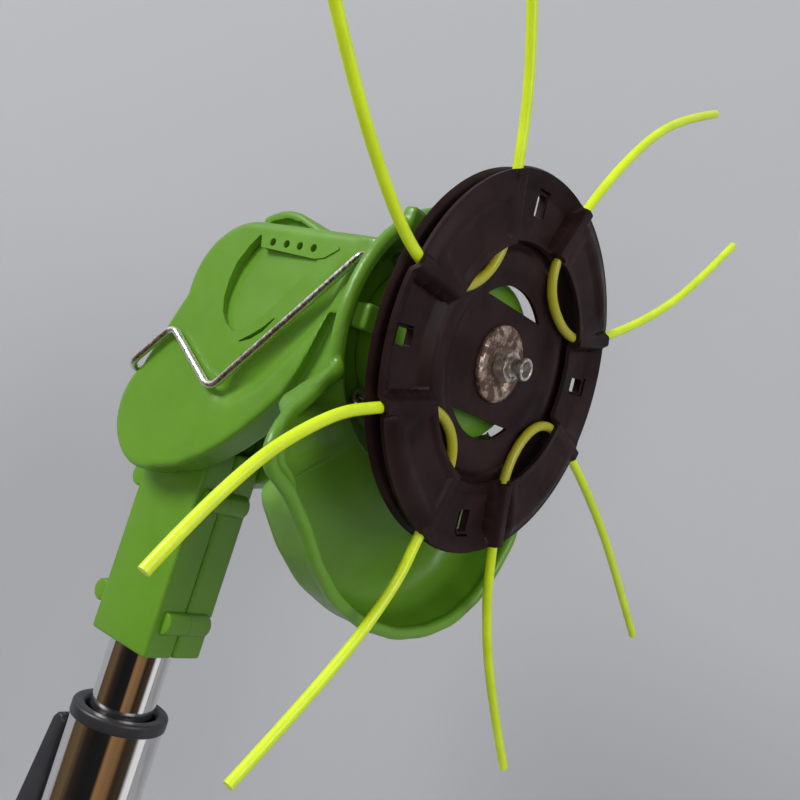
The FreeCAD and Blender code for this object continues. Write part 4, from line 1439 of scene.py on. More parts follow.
    def cavity(self) -> bpy.types.Object:
        """Space inside the shell round the motor.

        Returns:
            The cutter.
        """
        depth = self.half_width - self.wall
        inner = self.dome_radius - self.wall - 0.4
        centre = at(self.dome_back, 0, self.dome_rise)
        room = peg("dome_room", (-depth, depth), inner, centre, Axis.ACROSS, 72)
        barrel = brick("barrel_room", at(self.dome_back, -depth - 0.01, self.dome_rise - inner),
                       at(-43, depth + 0.01, self.dome_rise + inner))
        cut(room, barrel, "UNION")
        for side in SIDES:
            cut(room, self.recess("recess_room", self.wall, depth - self.side_step, side))
        for back, rise in self.screws:
            cut(room, peg("boss", (-24, 24), self.boss_radius, at(back, 0, rise), Axis.ACROSS,
                          32))
        return cut(room, peg("pivot_guard", (-16, 16), self.pivot_wall, PIVOT, Axis.ACROSS, 64))

    def carve(self, piece: bpy.types.Object) -> None:
        """Open the cavity, the neck's pocket, the vents and the holes of the wire guard.

        Args:
            piece: The object to change.
        """
        cut(piece, self.cavity())
        slot = self.half_slot
        bolt = self.half_width + 1
        across, centre = Axis.ACROSS, at(0, 0, 0)
        for name, ends, radius, place, axis, steps in (
                ("neck_pocket", (-slot, slot), self.neck_room, PIVOT, across, 96),
                ("spindle_hole", (-50, -30), self.spindle_bore, centre, Axis.ALONG, 96),
                ("bolt_hole", (-21, bolt), self.bolt_bore, PIVOT, across, 48),
                ("bolt_seat", (20, bolt), self.bolt_seat, PIVOT, across, 64)):
            cut(piece, peg(name, ends, radius, place, axis, steps))
        for side in SIDES:
            cut(piece, self.leaf_cutter(side))
            strip = flat_path(self.strip, 0.5, 3)
            cut(piece, extruded("strip", strip, *span(side, 22.6, self.strip_top)), "UNION")
            for back in self.vents:
                cut(piece, peg("vent", span(side, 20, 30), self.vent_radius,
                               at(back, 0, self.vent_rise), Axis.ACROSS, 24))
            cut(piece, peg("wire_hole", span(side, 21.4, 30), self.wire_bore, WIRE_PIVOT,
                           Axis.ACROSS, 28))
            for path in self.slots:
                cut(piece, extruded("vent_slot", self.slot_outline(path),
                                    *span(side, 21.5, 30)))
        for back, rise in self.screws:
            for name, ends, radius, steps in (("screw_seat", (18.9, 30), self.head_bore, 32),
                                              ("screw_room", (-17, 19.5), self.shank_bore, 20)):
                cut(piece, peg(name, ends, radius, at(back, 0, rise), Axis.ACROSS, steps))

    def slot_outline(self, path: Sequence[Pair]) -> list[Pair]:
        """Thin curved slot that narrows to both ends.

        Args:
            path: Middle of the slot.

        Returns:
            The slot's outline.
        """
        above, below = [], []
        for index, (back, rise) in enumerate(path):
            half = self.slot_tip if index in (0, len(path) - 1) else self.slot_half_width
            above.append((back - half * 0.6, rise + half))
            below.append((back + half * 0.6, rise - half))
        return above + below[::-1]

    def halves(self) -> tuple[bpy.types.Object, bpy.types.Object]:
        """Split the housing on its middle plane.

        Returns:
            The near half and the far half.
        """
        whole = self.skin()
        self.relief(whole)
        self.carve(whole)
        result = []
        for name, side in (("housing_half_near", -1), ("housing_half_far", 1)):
            piece = linked(name, whole.data.copy())
            low, high = span(side, self.half_split, 60)
            box = brick("half_room", at(-160, low, -90), at(0, high, 70))
            cut(piece, box, "INTERSECT")
            result.append(shaded(piece, 32))
        discard(whole)
        return result[0], result[1]

    def build(self, paint: Paint, scatter: Tree, screw: bpy.types.Object) -> None:
        """Make and dress the housing halves and their screws.

        Args:
            paint: The materials.
            scatter: Tree that sets copies on points.
            screw: The screw that is copied.
        """
        near, far = self.halves()
        paint.dress(near, Finish.GREEN, "head", "green_plastic", "housing_near")
        paint.dress(far, Finish.GREEN, "head", "green_plastic", "housing_far")
        seats = [at(back, self.half_width - 3.5, rise) for back, rise in self.screws]
        screw_set("housing", seats, (0, 1, 0), paint, scatter, screw)
        across, up = GUARD_SCREWS
        seats = [at(self.front + 6.05, side * across, rise * up)
                 for side in SIDES for rise in SIDES]
        screw_set("guard", seats, (1, 0, 0), paint, scatter, screw)


# Guard


@dataclass
class Guard:
    """Flange cup with the scoop in one moulding, and the nose held under it."""

    wall: float = 2.5
    back: float = -37.5
    foot: float = -36.3
    neck: float = 33.0
    flange: float = 42.0
    flange_front: float = -25.0
    nose: float = 24.0
    nose_front: float = -6.0
    lip: float = 1.9
    floor: float = -24.5
    screw_bore: float = 1.6
    cover_foot: float = 31.0
    cover_bore: float = 12.5
    cup_gap: float = 0.05
    roll_radius: float = 2.3
    bend: float = 9.0
    block: tuple[Pair, Pair, Pair] = ((-27, -21.5), (-36.8, -29.8), (-4.3, 3.4))
    tip: tuple[Pair, Pair, Pair] = ((-28, -23.4), (-29, -20), (27, 34.5))
    # Outline of the scoop: across, up and the corner's radius
    corners: list[tuple[float, float, float]] = field(default_factory=lambda: [
        (-38, -18, 0), (-80, -41.5, 6), (-64, -50, 30), (-54, -58.2, 30), (-45.5, -67, 30),
        (-34, -75.6, 30), (-19, -81.8, 30), (-2, -84.4, 30), (13, -83.2, 30), (26, -79, 20),
        (36.5, -71, 15), (43, -61, 20), (47.5, -50, 10), (43, -20, 0)])
    rim: list[Pair] = field(default_factory=lambda: [
        (-90, -4), (-47, -4), (-40, -4.5), (-37, -5.5), (-32, -12), (-26.5, -16.5),
        (-22, -20.5), (-13.5, -24.8), (0, -25)])
    # Where the scoop's wall leans out and how high it may stand, by place across
    lean: tuple[Sequence[float], Sequence[float]] = ((-80, -70, -62, -54), (5, 4, 2, 0))
    tall: tuple[Sequence[float], Sequence[float]] = ((-80, -70, -60, -50), (4, 6, 12, 30))
    steps: int = 190

    def around(self, radius: float, angle: float) -> Vector:
        """Point round the spindle, the angle in degrees from the top to the far side."""
        turn = math.radians(angle)
        return Vector((radius * math.sin(turn), radius * math.cos(turn), 0))

    def outline(self) -> list[Vector]:
        """Evenly spaced points of the scoop's outline, from near flange to far flange.

        Returns:
            The points, with height 0.
        """
        points = [Vector((side, rise, 0)) for side, rise, _ in self.corners]
        radii = [radius for _, _, radius in self.corners]
        dense = softened_corners(points, radii, False, 10)
        lengths = [0.0]
        for first, second in zip(dense, dense[1:]):
            lengths.append(lengths[-1] + (second - first).length)
        wanted = np.linspace(0, lengths[-1], self.steps)
        sides = np.interp(wanted, lengths, [point.x for point in dense])
        rises = np.interp(wanted, lengths, [point.y for point in dense])
        return [Vector((side, rise, 0)) for side, rise in zip(sides, rises)]

    def rim_height(self, rise: float) -> float:
        """How far forward the rim lies at a height."""
        return float(np.interp(rise, [pair[0] for pair in self.rim],
                               [pair[1] for pair in self.rim]))

    def scoop(self) -> list[bpy.types.Object]:
        """Curved scoop shell and the rolled edge along its rim.

        Returns:
            The shell and the path of its edge.
        """
        outline = self.outline()
        count = len(outline)
        rows: list[list[Vector]] = []
        edge: list[Vector] = []
        for index, outer in enumerate(outline):
            share = index / (count - 1)
            inner = self.around(self.flange - 3, 250 - 135 * share)
            run = outer - inner
            way = run.normalized()
            lip = max(run.length - self.lip, 0.4)
            taper = float(np.interp(outer.x, *self.lean))
            taper *= float(step_between(4, 34, np.array(lip)))
            length = max(lip - self.wall / 2 - taper, 0.3)
            rim = max(self.rim_height(outer.y) - self.lip, self.floor + 0.02)
            height = min(rim - self.floor, float(np.interp(outer.x, *self.tall)))
            base = rim - height
            bend = min(self.bend, height, max(length - 0.2, 0.1))
            row = []
            for step in range(7):
                rise = (base - self.floor) * (step / 7) ** 1.4
                row.append(((length - bend) * step / 7, self.floor + rise))
            for step in range(10):
                turn = math.pi / 2 * step / 9
                row.append((length - bend + bend * math.sin(turn),
                            base + bend * (1 - math.cos(turn))))
            for step in range(1, 6):
                climb = bend + (height - bend) * step / 5
                row.append((length + taper * (step / 5) ** 1.4, base + climb))
            rows.append([at(x, *(inner + way * out).xy) for out, x in row])
            edge.append(at(rim, *(inner + way * lip).xy))
        points = [point for row in rows for point in row]
        width = len(rows[0])
        faces = [[i * width + j, i * width + j + 1, (i + 1) * width + j + 1, (i + 1) * width + j]
                 for i in range(count - 1) for j in range(width - 1)]
        shell = mesh_piece("scoop_shell", points, faces)
        if shell.data.polygons[0].normal.x > 0:
            shell.data.flip_normals()
        outward(walled(shell, self.wall, 1))
        rolls = [(i, i + 1) for i in range(count - 1)]
        roll = mesh_piece("scoop_roll", edge, [], rolls)
        return [shell, roll]

    def screw_holes(self, piece: bpy.types.Object) -> None:
        """Cut the four holes for the guard's screws.

        Args:
            piece: The object to change.
        """
        across, up = GUARD_SCREWS
        for side in SIDES:
            for rise in SIDES:
                cut(piece, peg("guard_hole", (-60, -30), self.screw_bore,
                               at(0, side * across, rise * up), steps=20))

    def cover(self) -> bpy.types.Object:
        """Round nose over the spindle, with its foot under the guard.

        Returns:
            The nose.
        """
        inside = self.nose_front - self.wall
        corners = [(self.back, self.nose - self.wall), (self.back, self.cover_foot),
                   (self.foot, self.cover_foot), (self.foot, self.nose),
                   (self.nose_front, self.nose), (self.nose_front, self.cover_bore),
                   (inside, self.cover_bore), (inside, self.nose - self.wall)]
        radii = [0.1, 0.3, 0.3, 0.2, 1.8, 0.9, 0.6, 0.6]
        piece = turned("nose_moulding", flat_path(corners, radii, 6), at(0, 0, 0), steps=160)
        self.screw_holes(piece)
        return shaded(piece, 40)

    def build(self, paint: Paint, rod: Tree) -> None:
        """Make and dress the nose and the guard.

        Args:
            paint: The materials.
            rod: Tree that sweeps a round section.
        """
        paint.dress(self.cover(), Finish.GREEN, "head", "green_plastic", "nose_cover")
        hole = self.nose + self.cup_gap
        cup_corners = [(self.foot, hole), (self.foot, self.neck),
                       (self.flange_front - self.wall, self.flange),
                       (self.flange_front, self.flange),
                       (self.flange_front, self.flange - self.wall),
                       (self.foot + self.wall, self.neck - self.wall),
                       (self.foot + self.wall, hole)]
        cup = turned("guard_cup", flat_path(cup_corners, [0.1, 1, 0.8, 1, 1, 1, 0.2], 4),
                     at(0, 0, 0), steps=160)
        roll_profile = [(self.flange_front - 1.6 + self.roll_radius * math.cos(turn),
                         self.flange - 1.9 + self.roll_radius * math.sin(turn))
                        for turn in np.linspace(0, 2 * math.pi, 17)[:-1]]
        roll = turned("flange_roll", roll_profile, at(0, 0, 0), steps=160)
        shell, edge = self.scoop()
        rod.run(edge, Radius=self.lip * MM, Sides=14, Material=paint.of(Finish.GREEN))
        block = brick("flange_block", *[at(*corner) for corner in zip(*self.block)], 0.8)
        tip = brick("flange_tip", *[at(*corner) for corner in zip(*self.tip)], 1)
        piece = joined("guard_moulding", [cup, roll, outward(shell), outward(edge), block, tip])
        fused(piece, 0.66, 5)
        self.screw_holes(piece)
        paint.dress(shaded(piece, 50), Finish.GREEN, "head", "green_plastic", "guard")


# Line disc


@dataclass
class LineDisc:
    """Pressed rear plate and front ring, their lines, and the clamp on the spindle."""

    radius: float = 55.0
    sheet: float = 1.2
    crest: float = 5.3
    inner: float = 35.5
    land_turn: float = -6.6
    crest_angle: float = 21.5
    foot_angle: float = 27.5
    line_middle: float = 2.55
    line_radius: float = 1.5
    # Pressed profiles: radii, then heights of the front
    land: tuple[Sequence[float], Sequence[float]] = ((35.5, 39, 49.5, 55), (2.2, 0.4, 0.4, 3.3))
    plate: tuple[Sequence[float], Sequence[float]] = (
        (0, 24, 27.2, 28.6, 30.8, 32.2, 33.4, 53.4, 54.4, 55),
        (-0.8, -0.8, 0.62, 0.92, 0.92, 0.5, -0.8, -0.8, -1.3, -2.5))
    plate_grid: tuple[float, ...] = (
        3.36, 8, 13, 18, 22, 24, 25, 26, 27, 27.8, 28.6, 29.4, 30.2, 30.8, 31.5, 32.2, 33, 34,
        35, 36, 36.6, 37.2, 37.8, 38.4, 39, 42, 46, 50, 53, 53.6, 54.2, 54.6, 55)
    washer: tuple[Pair, ...] = (
        (-0.8, 3.4), (-0.8, 11.3), (0.35, 11.3), (1.0, 10.2), (1.0, 8.3), (0.2, 6.6), (0.2, 3.4))
    nut: tuple[Pair, ...] = ((0.25, 3.35), (0.25, 4.95), (4.3, 4.95), (4.3, 3.35))
    nose: tuple[Pair, ...] = (
        (-33, 3.05), (-33, 5.5), (-5, 5.5), (-5, 11), (-2.05, 11), (-2.05, 3.25), (5.0, 3.25),
        (5.4, 2.5), (7.0, 2.5), (7.5, 3.3), (9, 3.3), (9, 2.35), (6.6, 1.9), (6.6, 0), (-5, 0),
        (-5, 3.05))
    thread: tuple[Pair, ...] = ((0, 2.4), (0.24, 2.75), (0.48, 2.4))
    thread_start: float = 4.5
    thread_pitch: float = 0.55
    thread_turns: int = 5
    dish: float = 1.0
    rim_drop: float = 1.4
    tunnel_gap: float = 0.05
    tunnel_fall: float = 3.0
    tunnel_width: Pair = (1.2, 3.6)
    window_radius: float = 22.5
    window_chord: float = 16.5
    routes: dict[str, list[Pair]] = field(default_factory=lambda: {
        "line_1": [(-115, 62), (-100, 47), (-79, 28.5), (-54.5, 12.5), (-31.5, 10.5),
                   (-18, 26), (-24.5, 49.6), (-30, 68), (-39.5, 86), (-50, 103)],
        "line_2": [(83, 119), (59, 105), (38.5, 87), (17.5, 58), (4.7, 28.9),
                   (26, 15.6), (49, 22), (87, 44), (113, 65.5), (135, 88)],
        "line_3": [(152, -75), (122, -55), (92, -36), (54, -17), (28.3, -8.4),
                   (14.6, -24.7), (21.5, -50.6), (29, -70), (46, -95), (73, -124)],
        "line_4": [(-60, -117), (-35, -90), (-20, -66), (-17.4, -53.5), (-10.6, -29.6),
                   (-24.5, -17.6), (-50, -24), (-66, -29.4), (-88, -47), (-103, -70)],
    })

    def line_path(self, name: str, route: Sequence[Pair]) -> bpy.types.Object:
        """Smooth path of one line as a chain of edges.

        Args:
            name: The line's name.
            route: Its control points, across and up.

        Returns:
            A mesh of edges along the curve.
        """
        curve = bpy.data.curves.new(name, "CURVE")
        curve.dimensions = "3D"
        curve.resolution_u = 10
        spline = curve.splines.new("NURBS")
        spline.points.add(len(route) - 1)
        for point, (side, rise) in zip(spline.points, route):
            point.co = (*at(self.line_middle, side, rise), 1)
        spline.order_u = 3
        spline.use_endpoint_u = True
        helper = linked(name + "_path", curve)
        mesh = evaluated(helper)
        discard(helper)
        return linked(name + "_strand", mesh)

    def polar_sheet(self, name: str, radii: Sequence[float],
                    height: Callable[[np.ndarray, np.ndarray], np.ndarray]) -> bpy.types.Object:
        """Sheet on a polar grid whose front follows a height.

        Args:
            name: The piece's name.
            radii: Radii of the grid in millimetres.
            height: Function of radius and angle in degrees.

        Returns:
            The sheet with its thickness behind it.
        """
        count = 540
        angles = np.linspace(0, 360, count, endpoint=False)
        spread, turns = np.meshgrid(radii, angles)
        fronts = height(spread, turns)
        turn = np.radians(turns)
        points = [at(x, r * math.sin(a), r * math.cos(a))
                  for x, r, a in zip(fronts.ravel(), spread.ravel(), turn.ravel())]
        width = len(radii)
        faces = []
        for i in range(count):
            after = (i + 1) % count
            for j in range(width - 1):
                faces.append([i * width + j, after * width + j, after * width + j + 1,
                              i * width + j + 1])
        piece = mesh_piece(name, points, faces)
        if piece.data.polygons[0].normal.x < 0:
            piece.data.flip_normals()
        return walled(piece, self.sheet, -1)

    def ring_height(self, radius: np.ndarray, angle: np.ndarray) -> np.ndarray:
        """Front of the pressed ring: lands, ramps, dished sectors and line tunnels.

        Args:
            radius: Radius of each point.
            angle: Its angle in degrees.

        Returns:
            How far forward each point lies.
        """
        turn = (angle - self.land_turn + 45) % 90 - 45
        from_land = 45 - np.abs(turn)
        ramp = 1 - step_between(self.crest_angle, self.foot_angle, from_land)
        land = np.interp(radius, *self.land)
        lifted = land + (self.crest - land) * ramp
        inside = (1 - step_between(self.crest_angle - 6.5, self.crest_angle - 1.5, from_land))
        inside *= step_between(36.5, 38.5, radius) * (1 - step_between(46.5, 49.5, radius))
        lifted = lifted - self.dish * inside
        rim = step_between(50.2, 55, radius)
        lifted = lifted - rim * self.rim_drop * ramp
        way = np.radians(angle)
        side, rise = radius * np.sin(way), radius * np.cos(way)
        away = np.full(radius.shape, 1e9)
        for route in self.routes.values():
            away = np.minimum(away, path_distance(route[2:8], side, rise))
        tunnel = self.line_middle + self.line_radius + self.sheet + self.tunnel_gap
        cover = tunnel - self.tunnel_fall * step_between(*self.tunnel_width, away)
        near = (away < self.tunnel_width[1]) & (radius > 36)
        return np.where(near, np.maximum(lifted, cover), lifted)

    def plate_height(self, radius: np.ndarray, angle: np.ndarray) -> np.ndarray:
        """Front of the pressed rear plate."""
        return np.interp(radius, *self.plate)

    def tab_holes(self, piece: bpy.types.Object, slits: bool) -> None:
        """Cut the four tab holes, and the slit beside each tab of the front ring.

        Args:
            piece: The object to change.
            slits: Whether each hole has slits beside its tab.
        """
        for quarter in range(4):
            angle = math.radians(self.land_turn + 90 * quarter)
            turn = Matrix.Rotation(-angle, 4, "X")
            boxes = [brick("tab_hole", at(-8, -2.25, 43.05), at(12, 2.25, 49.55), 0.5)]
            if slits:
                boxes.append(brick("tab_slit", at(-8, -2.9, 50.2), at(12, 2.9, 50.9)))
                boxes.append(brick("tab_slit", at(-8, 2.5, 43.4), at(12, 3.1, 50.4)))
            for box in boxes:
                box.data.transform(Matrix.Translation(-DISC))
                box.data.transform(turn)
                box.data.transform(Matrix.Translation(DISC))
                cut(piece, box)

    def plates(self, paint: Paint) -> None:
        """Make and dress the front ring and the rear plate.

        Args:
            paint: The materials.
        """
        ring_radii = list(np.linspace(self.inner, 54.6, 44)) + [self.radius]
        ring = self.polar_sheet("pressed_ring", ring_radii, self.ring_height)
        self.tab_holes(ring, True)
        paint.dress(shaded(ring, 45), Finish.SHEET, "spindle", "dark_sheet", "front_ring")
        plate = self.polar_sheet("pressed_plate", self.plate_grid, self.plate_height)
        for low, high in ((self.window_chord, 40), (-40, -self.window_chord)):
            window = peg("window", (-8, 8), self.window_radius, at(0, 0, 0))
            cut(window, brick("chord", at(-9, -40, low), at(9, 40, high)), "INTERSECT")
            cut(plate, window)
        self.tab_holes(plate, False)
        paint.dress(shaded(plate, 45), Finish.SHEET, "spindle", "dark_sheet", "rear_plate")

    def clamp(self, paint: Paint, scatter: Tree) -> None:
        """Make and dress the washer, the nut and the hollow threaded nose.

        Args:
            paint: The materials.
            scatter: Tree that sets copies on points.
        """
        centre = at(0, 0, 0)
        washer = turned("washer_disc", flat_path(self.washer, 0.25, 3), centre, steps=120)
        self.pit(washer, 0.22)
        paint.dress(shaded(washer, 60), Finish.RUSTED, "spindle", "worn_steel", "clamp_washer")
        nut = turned("nut_block", self.nut, centre, steps=6)
        bevelled(nut, 0.35, 3, 30)
        sub = nut.modifiers.new("fine", "SUBSURF")
        sub.subdivision_type = "SIMPLE"
        sub.levels = sub.render_levels = 3
        applied(nut)
        self.pit(nut, 0.12)
        paint.dress(shaded(nut, 50), Finish.WORN, "spindle", "worn_steel", "clamp_nut")
        radii = [0.2, 0.3, 0.3, 0.6, 0.4, 0.2, 0.2, 0.3, 0.3, 0.3, 0.35, 0.3, 0.2, 0, 0, 0.2]
        nose = turned("spindle_nose", flat_path(self.nose, radii, 3), centre, steps=64)
        turns = [at(self.thread_start + self.thread_pitch * step, 0, 0)
                 for step in range(self.thread_turns)]
        rings = mesh_piece("thread_points", turns, [])
        crest = turned("thread_crest", self.thread, Vector(), Axis.UP, 48)
        scatter.run(rings, Copy=crest, Direction=(1, 0, 0), Material=paint.of(Finish.WORN))
        discard(crest)
        nose = joined("spindle_nose", [nose, rings])
        paint.dress(shaded(nose, 45), Finish.WORN, "spindle", "worn_steel", "drive_adapter")

    @staticmethod
    def pit(piece: bpy.types.Object, depth: float) -> None:
        """Roughen a metal piece with rust pits.

        Args:
            piece: The object to change.
            depth: Pit depth in millimetres.
        """
        places = corners_of(piece)
        wave = np.sin(places[:, 1] * 2.1 + 1.3) * np.sin(places[:, 2] * 1.7 + 0.4)
        wave += 0.6 * np.sin(places[:, 1] * 5.3 + places[:, 2] * 4.1)
        front = places[:, 0] > 0
        places[:, 0] += np.where(front, depth * wave * 0.5, 0)
        set_corners(piece, places)

    def build(self, paint: Paint, rod: Tree, scatter: Tree) -> None:
        """Make and dress the whole disc.

        Args:
            paint: The materials.
            rod: Tree that sweeps a round section.
            scatter: Tree that sets copies on points.
        """
        self.plates(paint)
        for name, route in self.routes.items():
            strand = self.line_path(name, route)
            rod.run(strand, Radius=self.line_radius * MM, Sides=20,
                    Material=paint.of(Finish.NYLON))
            outward(strand)
            paint.dress(shaded(strand, 50), Finish.NYLON, "spindle", "nylon_line", name)
        self.clamp(paint, scatter)


# Wire guard


@dataclass
class WireGuard:
    """Bent wire hinged on the sides of the housing."""

    radius: float = 1.3
    side: float = 27.0
    tail: float = 21.5
    bend: float = 5.0
    end_bend: float = 1.6
    # Bends of the near leg, from the hinge to the back
    leg: tuple[Pair, ...] = ((-85.1, -32.1), (-112.4, -15.3), (-129.6, -32.6))

    def build(self, paint: Paint, rod: Tree) -> None:
        """Make and dress the wire.

        Args:
            paint: The materials.
            rod: Tree that sweeps a round section.
        """
        hinge = (WIRE_PIVOT - DISC) / MM
        leg = [(hinge.x, hinge.z), *self.leg]
        near = [Vector((back, -self.side, rise)) for back, rise in leg]
        far = [Vector((back, self.side, rise)) for back, rise in reversed(leg)]
        points = [Vector((hinge.x, -self.tail, hinge.z))] + near + far
        points.append(Vector((hinge.x, self.tail, hinge.z)))
        radii = [0, self.end_bend] + [self.bend] * (2 * len(self.leg)) + [self.end_bend, 0]
        path = [at(*point) for point in softened_corners(points, radii, False, 12)]
        edges = [(index, index + 1) for index in range(len(path) - 1)]
        wire = mesh_piece("wire_loop", path, [], edges)
        rod.run(wire, Radius=self.radius * MM, Sides=24, Material=paint.of(Finish.WIRE))
        outward(wire)
        paint.dress(shaded(wire, 60), Finish.WIRE, "wire", "chrome_wire", "wire_guard")


# Camera, lamps and backdrop


@dataclass
class Studio:
    """Camera at the photograph's place, soft lamps, pale wall and floor."""

    lens: float = 41.43
    reach: float = 1.6
    place: Vector = field(default_factory=lambda: spot(251.0, -222.0, 201.8))
    right: Vector = field(default_factory=lambda: Vector((0.7597, 0.5753, 0.3030)))
    up: Vector = field(default_factory=lambda: Vector((-0.2060, -0.2291, 0.9514)))
    wall_distance: float = 0.47
    wall_colour: Colour = (0.335, 0.338, 0.352)
    floor_height: float = -0.036
    # Lamps: metres right, up and back from the camera, side in metres, watts
    lamps: tuple[tuple[str, tuple[float, float, float], float, float], ...] = (
        ("key", (-1.1, 1.5, 0.45), 0.8, 44),
        ("fill", (1.4, 0.3, 0.9), 1.2, 20),
        ("front", (-0.1, -0.2, 1.0), 0.9, 9))
    sky_strength: float = 0.5
    sky: tuple[tuple[float, Colour], ...] = ((0, (0.30, 0.29, 0.28)), (1, (0.95, 0.96, 1.0)))
    # Directions in degrees to the right of the camera's side, with what lies there
    room: list[tuple[float, Colour]] = field(default_factory=lambda: [
        (-180, (0.75, 0.76, 0.78)), (-130, (0.70, 0.70, 0.70)), (-122, (0.07, 0.05, 0.03)),
        (-80, (0.14, 0.09, 0.045)), (-60, (0.03, 0.02, 0.015)), (-38, (0.012, 0.012, 0.012)),
        (-5, (0.012, 0.012, 0.012)), (2, (0.30, 0.17, 0.07)), (28, (0.20, 0.11, 0.05)),
        (36, (0.03, 0.02, 0.015)), (60, (0.05, 0.035, 0.02)), (70, (0.85, 0.85, 0.86)),
        (180, (0.75, 0.76, 0.78))])

    def camera(self) -> None:
        """Set the camera where the photograph was taken."""
        data = bpy.data.cameras.new("camera")
        data.lens = self.lens
        data.sensor_width = 36
        data.clip_start = 0.005
        camera = linked("camera", data)
        back = self.right.cross(self.up)
        matrix = Matrix((self.right, self.up, back)).transposed().to_4x4()
        matrix.translation = self.place
        camera.matrix_world = matrix
        bpy.context.scene.camera = camera

    def lamp(self, name: str, offset: tuple[float, float, float], size: float,
             power: float, aim: Vector) -> bpy.types.Object:
        """Soft square lamp placed in the camera's axes.

        Args:
            name: The lamp's name.
            offset: Metres right, up and back from the camera.
            size: Side of the lamp in metres.
            power: Watts.
            aim: Point that it faces.

        Returns:
            The lamp.
        """
        data = bpy.data.lights.new(name, "AREA")
        data.size = size
        data.energy = power
        lamp = linked(name, data)
        back = self.right.cross(self.up)
        lamp.location = (self.place + self.right * offset[0] + self.up * offset[1]
                         + back * offset[2])
        lamp.rotation_euler = (aim - lamp.location).to_track_quat("-Z", "Y").to_euler()
        return lamp

    def world(self) -> None:
        """Pale surroundings, and a banded room that only shiny surfaces show."""
        world = bpy.data.worlds.new("world")
        world.use_nodes = True
        tree = world.node_tree
        coordinate = tree.nodes.new("ShaderNodeTexCoord").outputs["Generated"]
        split = tree.nodes.new("ShaderNodeSeparateXYZ")
        tree.links.new(coordinate, split.inputs["Vector"])
        sky = colour_ramp(tree, map_range(tree, split.outputs["Z"], (-1, 1), (0, 1)), self.sky)
        ahead = Vector((self.place.x, self.place.y, 0)).normalized()
        parts = []
        for axis in (Vector((-ahead.y, ahead.x, 0)), ahead):
            along = tree.nodes.new("ShaderNodeVectorMath")
            along.operation = "DOT_PRODUCT"
            along.inputs[1].default_value = axis
            tree.links.new(coordinate, along.inputs[0])
            parts.append(along.outputs["Value"])
        turn = tree.nodes.new("ShaderNodeMath")
        turn.operation = "ARCTAN2"
        tree.links.new(parts[0], turn.inputs[0])
        tree.links.new(parts[1], turn.inputs[1])
        share = map_range(tree, turn.outputs["Value"], (-math.pi, math.pi), (0, 1))
        room = colour_ramp(tree, share, [(angle / 360 + 0.5, colour)
                                         for angle, colour in self.room])
        mix = tree.nodes.new("ShaderNodeMixShader")
        tree.links.new(tree.nodes.new("ShaderNodeLightPath").outputs["Is Glossy Ray"],
                       mix.inputs["Fac"])
        for index, (colour, strength) in enumerate(((sky, self.sky_strength), (room, 1))):
            light = tree.nodes.new("ShaderNodeBackground")
            light.inputs["Strength"].default_value = strength
            tree.links.new(colour, light.inputs["Color"])
            tree.links.new(light.outputs["Background"], mix.inputs[index + 1])
        tree.links.new(mix.outputs["Shader"], tree.nodes["World Output"].inputs["Surface"])
        bpy.context.scene.world = world

    def pale(self) -> bpy.types.Material:
        """Plain matt paint of the wall and floor, clear from behind.

        Returns:
            The material.
        """
        shader = Shader("pale_paint")
        shader.put(Base_Color=(*self.wall_colour, 1), Roughness=0.9, Specular_IOR_Level=0.2)
        tree = shader.tree
        clear = tree.nodes.new("ShaderNodeBsdfTransparent")
        mix = tree.nodes.new("ShaderNodeMixShader")
        facing = tree.nodes.new("ShaderNodeNewGeometry")
        output = tree.nodes["Material Output"]
        tree.links.new(facing.outputs["Backfacing"], mix.inputs["Fac"])
        tree.links.new(shader.surface.outputs["BSDF"], mix.inputs[1])
        tree.links.new(clear.outputs["BSDF"], mix.inputs[2])
        tree.links.new(mix.outputs["Shader"], output.inputs["Surface"])
        return shader.material

    def backdrop(self) -> None:
        """Board behind the object, and a floor under it that shiny surfaces don't show."""
        paint = self.pale()
        back = self.right.cross(self.up)
        spots = (("backdrop_wall", self.place - back * self.wall_distance, self.right, self.up),
                 ("floor", Vector((0, 0, self.floor_height)), Vector((1, 0, 0)),
                  Vector((0, 1, 0))))
        for name, centre, across, along in spots:
            points = [centre + across * (x * self.reach) + along * (y * self.reach)
                      for x, y in ((-1, -1), (1, -1), (1, 1), (-1, 1))]
            board = mesh_piece(name, points, [[0, 1, 2, 3]])
            board.data.materials.append(paint)
            board.visible_glossy = name != "floor"

    def build(self) -> None:
        """Set up everything that isn't the object, apart from the camera."""
        aim = spot(40, 0, 215)
        for name, offset, size, power in self.lamps:
            lamp = self.lamp(name, offset, size, power, aim)
            lamp.visible_glossy = name != "front"
        self.world()
        self.backdrop()
        bpy.context.scene.view_settings.view_transform = "Standard"


def screw_template() -> bpy.types.Object:
    """Pan-head cross screw with its head seat at 0 and its shank below.

    Returns:
        The screw, which is copied and then removed.
    """
    corners = [(-6, 0), (-6, 1.5), (-2.4, 1.5), (-2.4, 2.65), (-0.6, 2.65), (0, 1.9), (0, 0)]
    piece = turned("screw", flat_path(corners, [0, 0.2, 0.1, 0.3, 0.5, 0.5, 0], 3), Vector(),
                   Axis.UP, 32)
    for across, along in ((1.6, 0.35), (0.35, 1.6)):
        groove = brick("groove", spot(-across, -along, -1),
                       spot(across, along, 1))
        cut(piece, groove)
    return piece


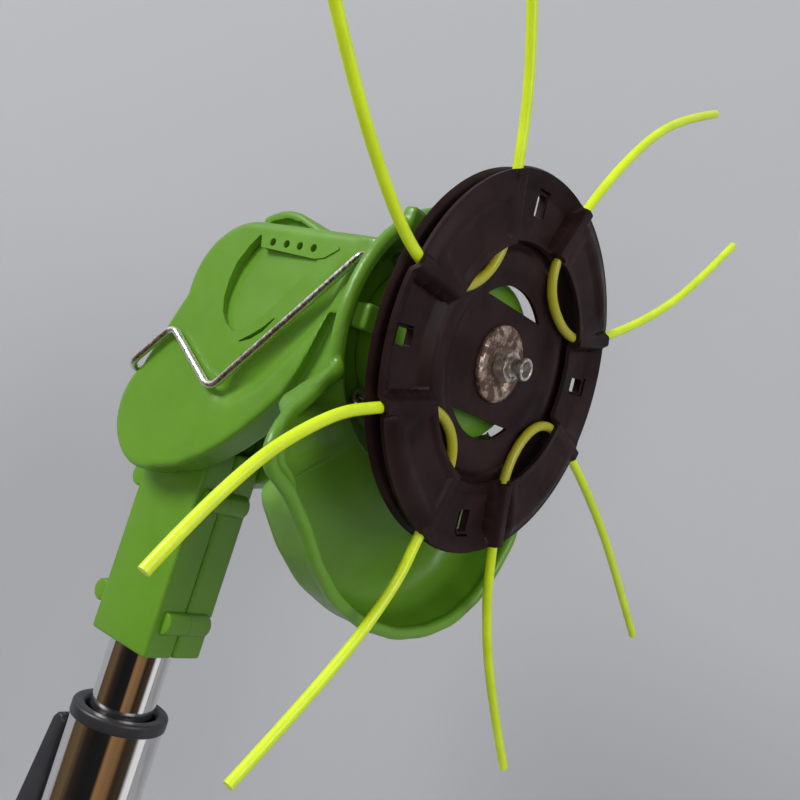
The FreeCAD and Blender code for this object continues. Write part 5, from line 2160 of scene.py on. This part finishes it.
def main() -> None:
    """Build the scene around the frame."""
    logging.basicConfig(level=logging.INFO, format="%(message)s")
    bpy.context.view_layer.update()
    studio = Studio()
    studio.camera()
    paint = Paint()
    rod = rod_tree()
    scatter = scatter_tree()
    screw = screw_template()
    Pole().build(paint)
    Neck().build(paint, scatter, screw)
    Housing().build(paint, scatter, screw)
    Guard().build(paint, rod)
    LineDisc().build(paint, rod, scatter)
    WireGuard().build(paint, rod)
    discard(screw)
    for finish, nodes in CARRIED.items():
        for name in nodes:
            paint.coat(frame["nodes"][name], finish)
            LOG.info("%s carried over as %s", name, finish.name.lower())
    studio.build()


if __name__ == "__main__":
    main()
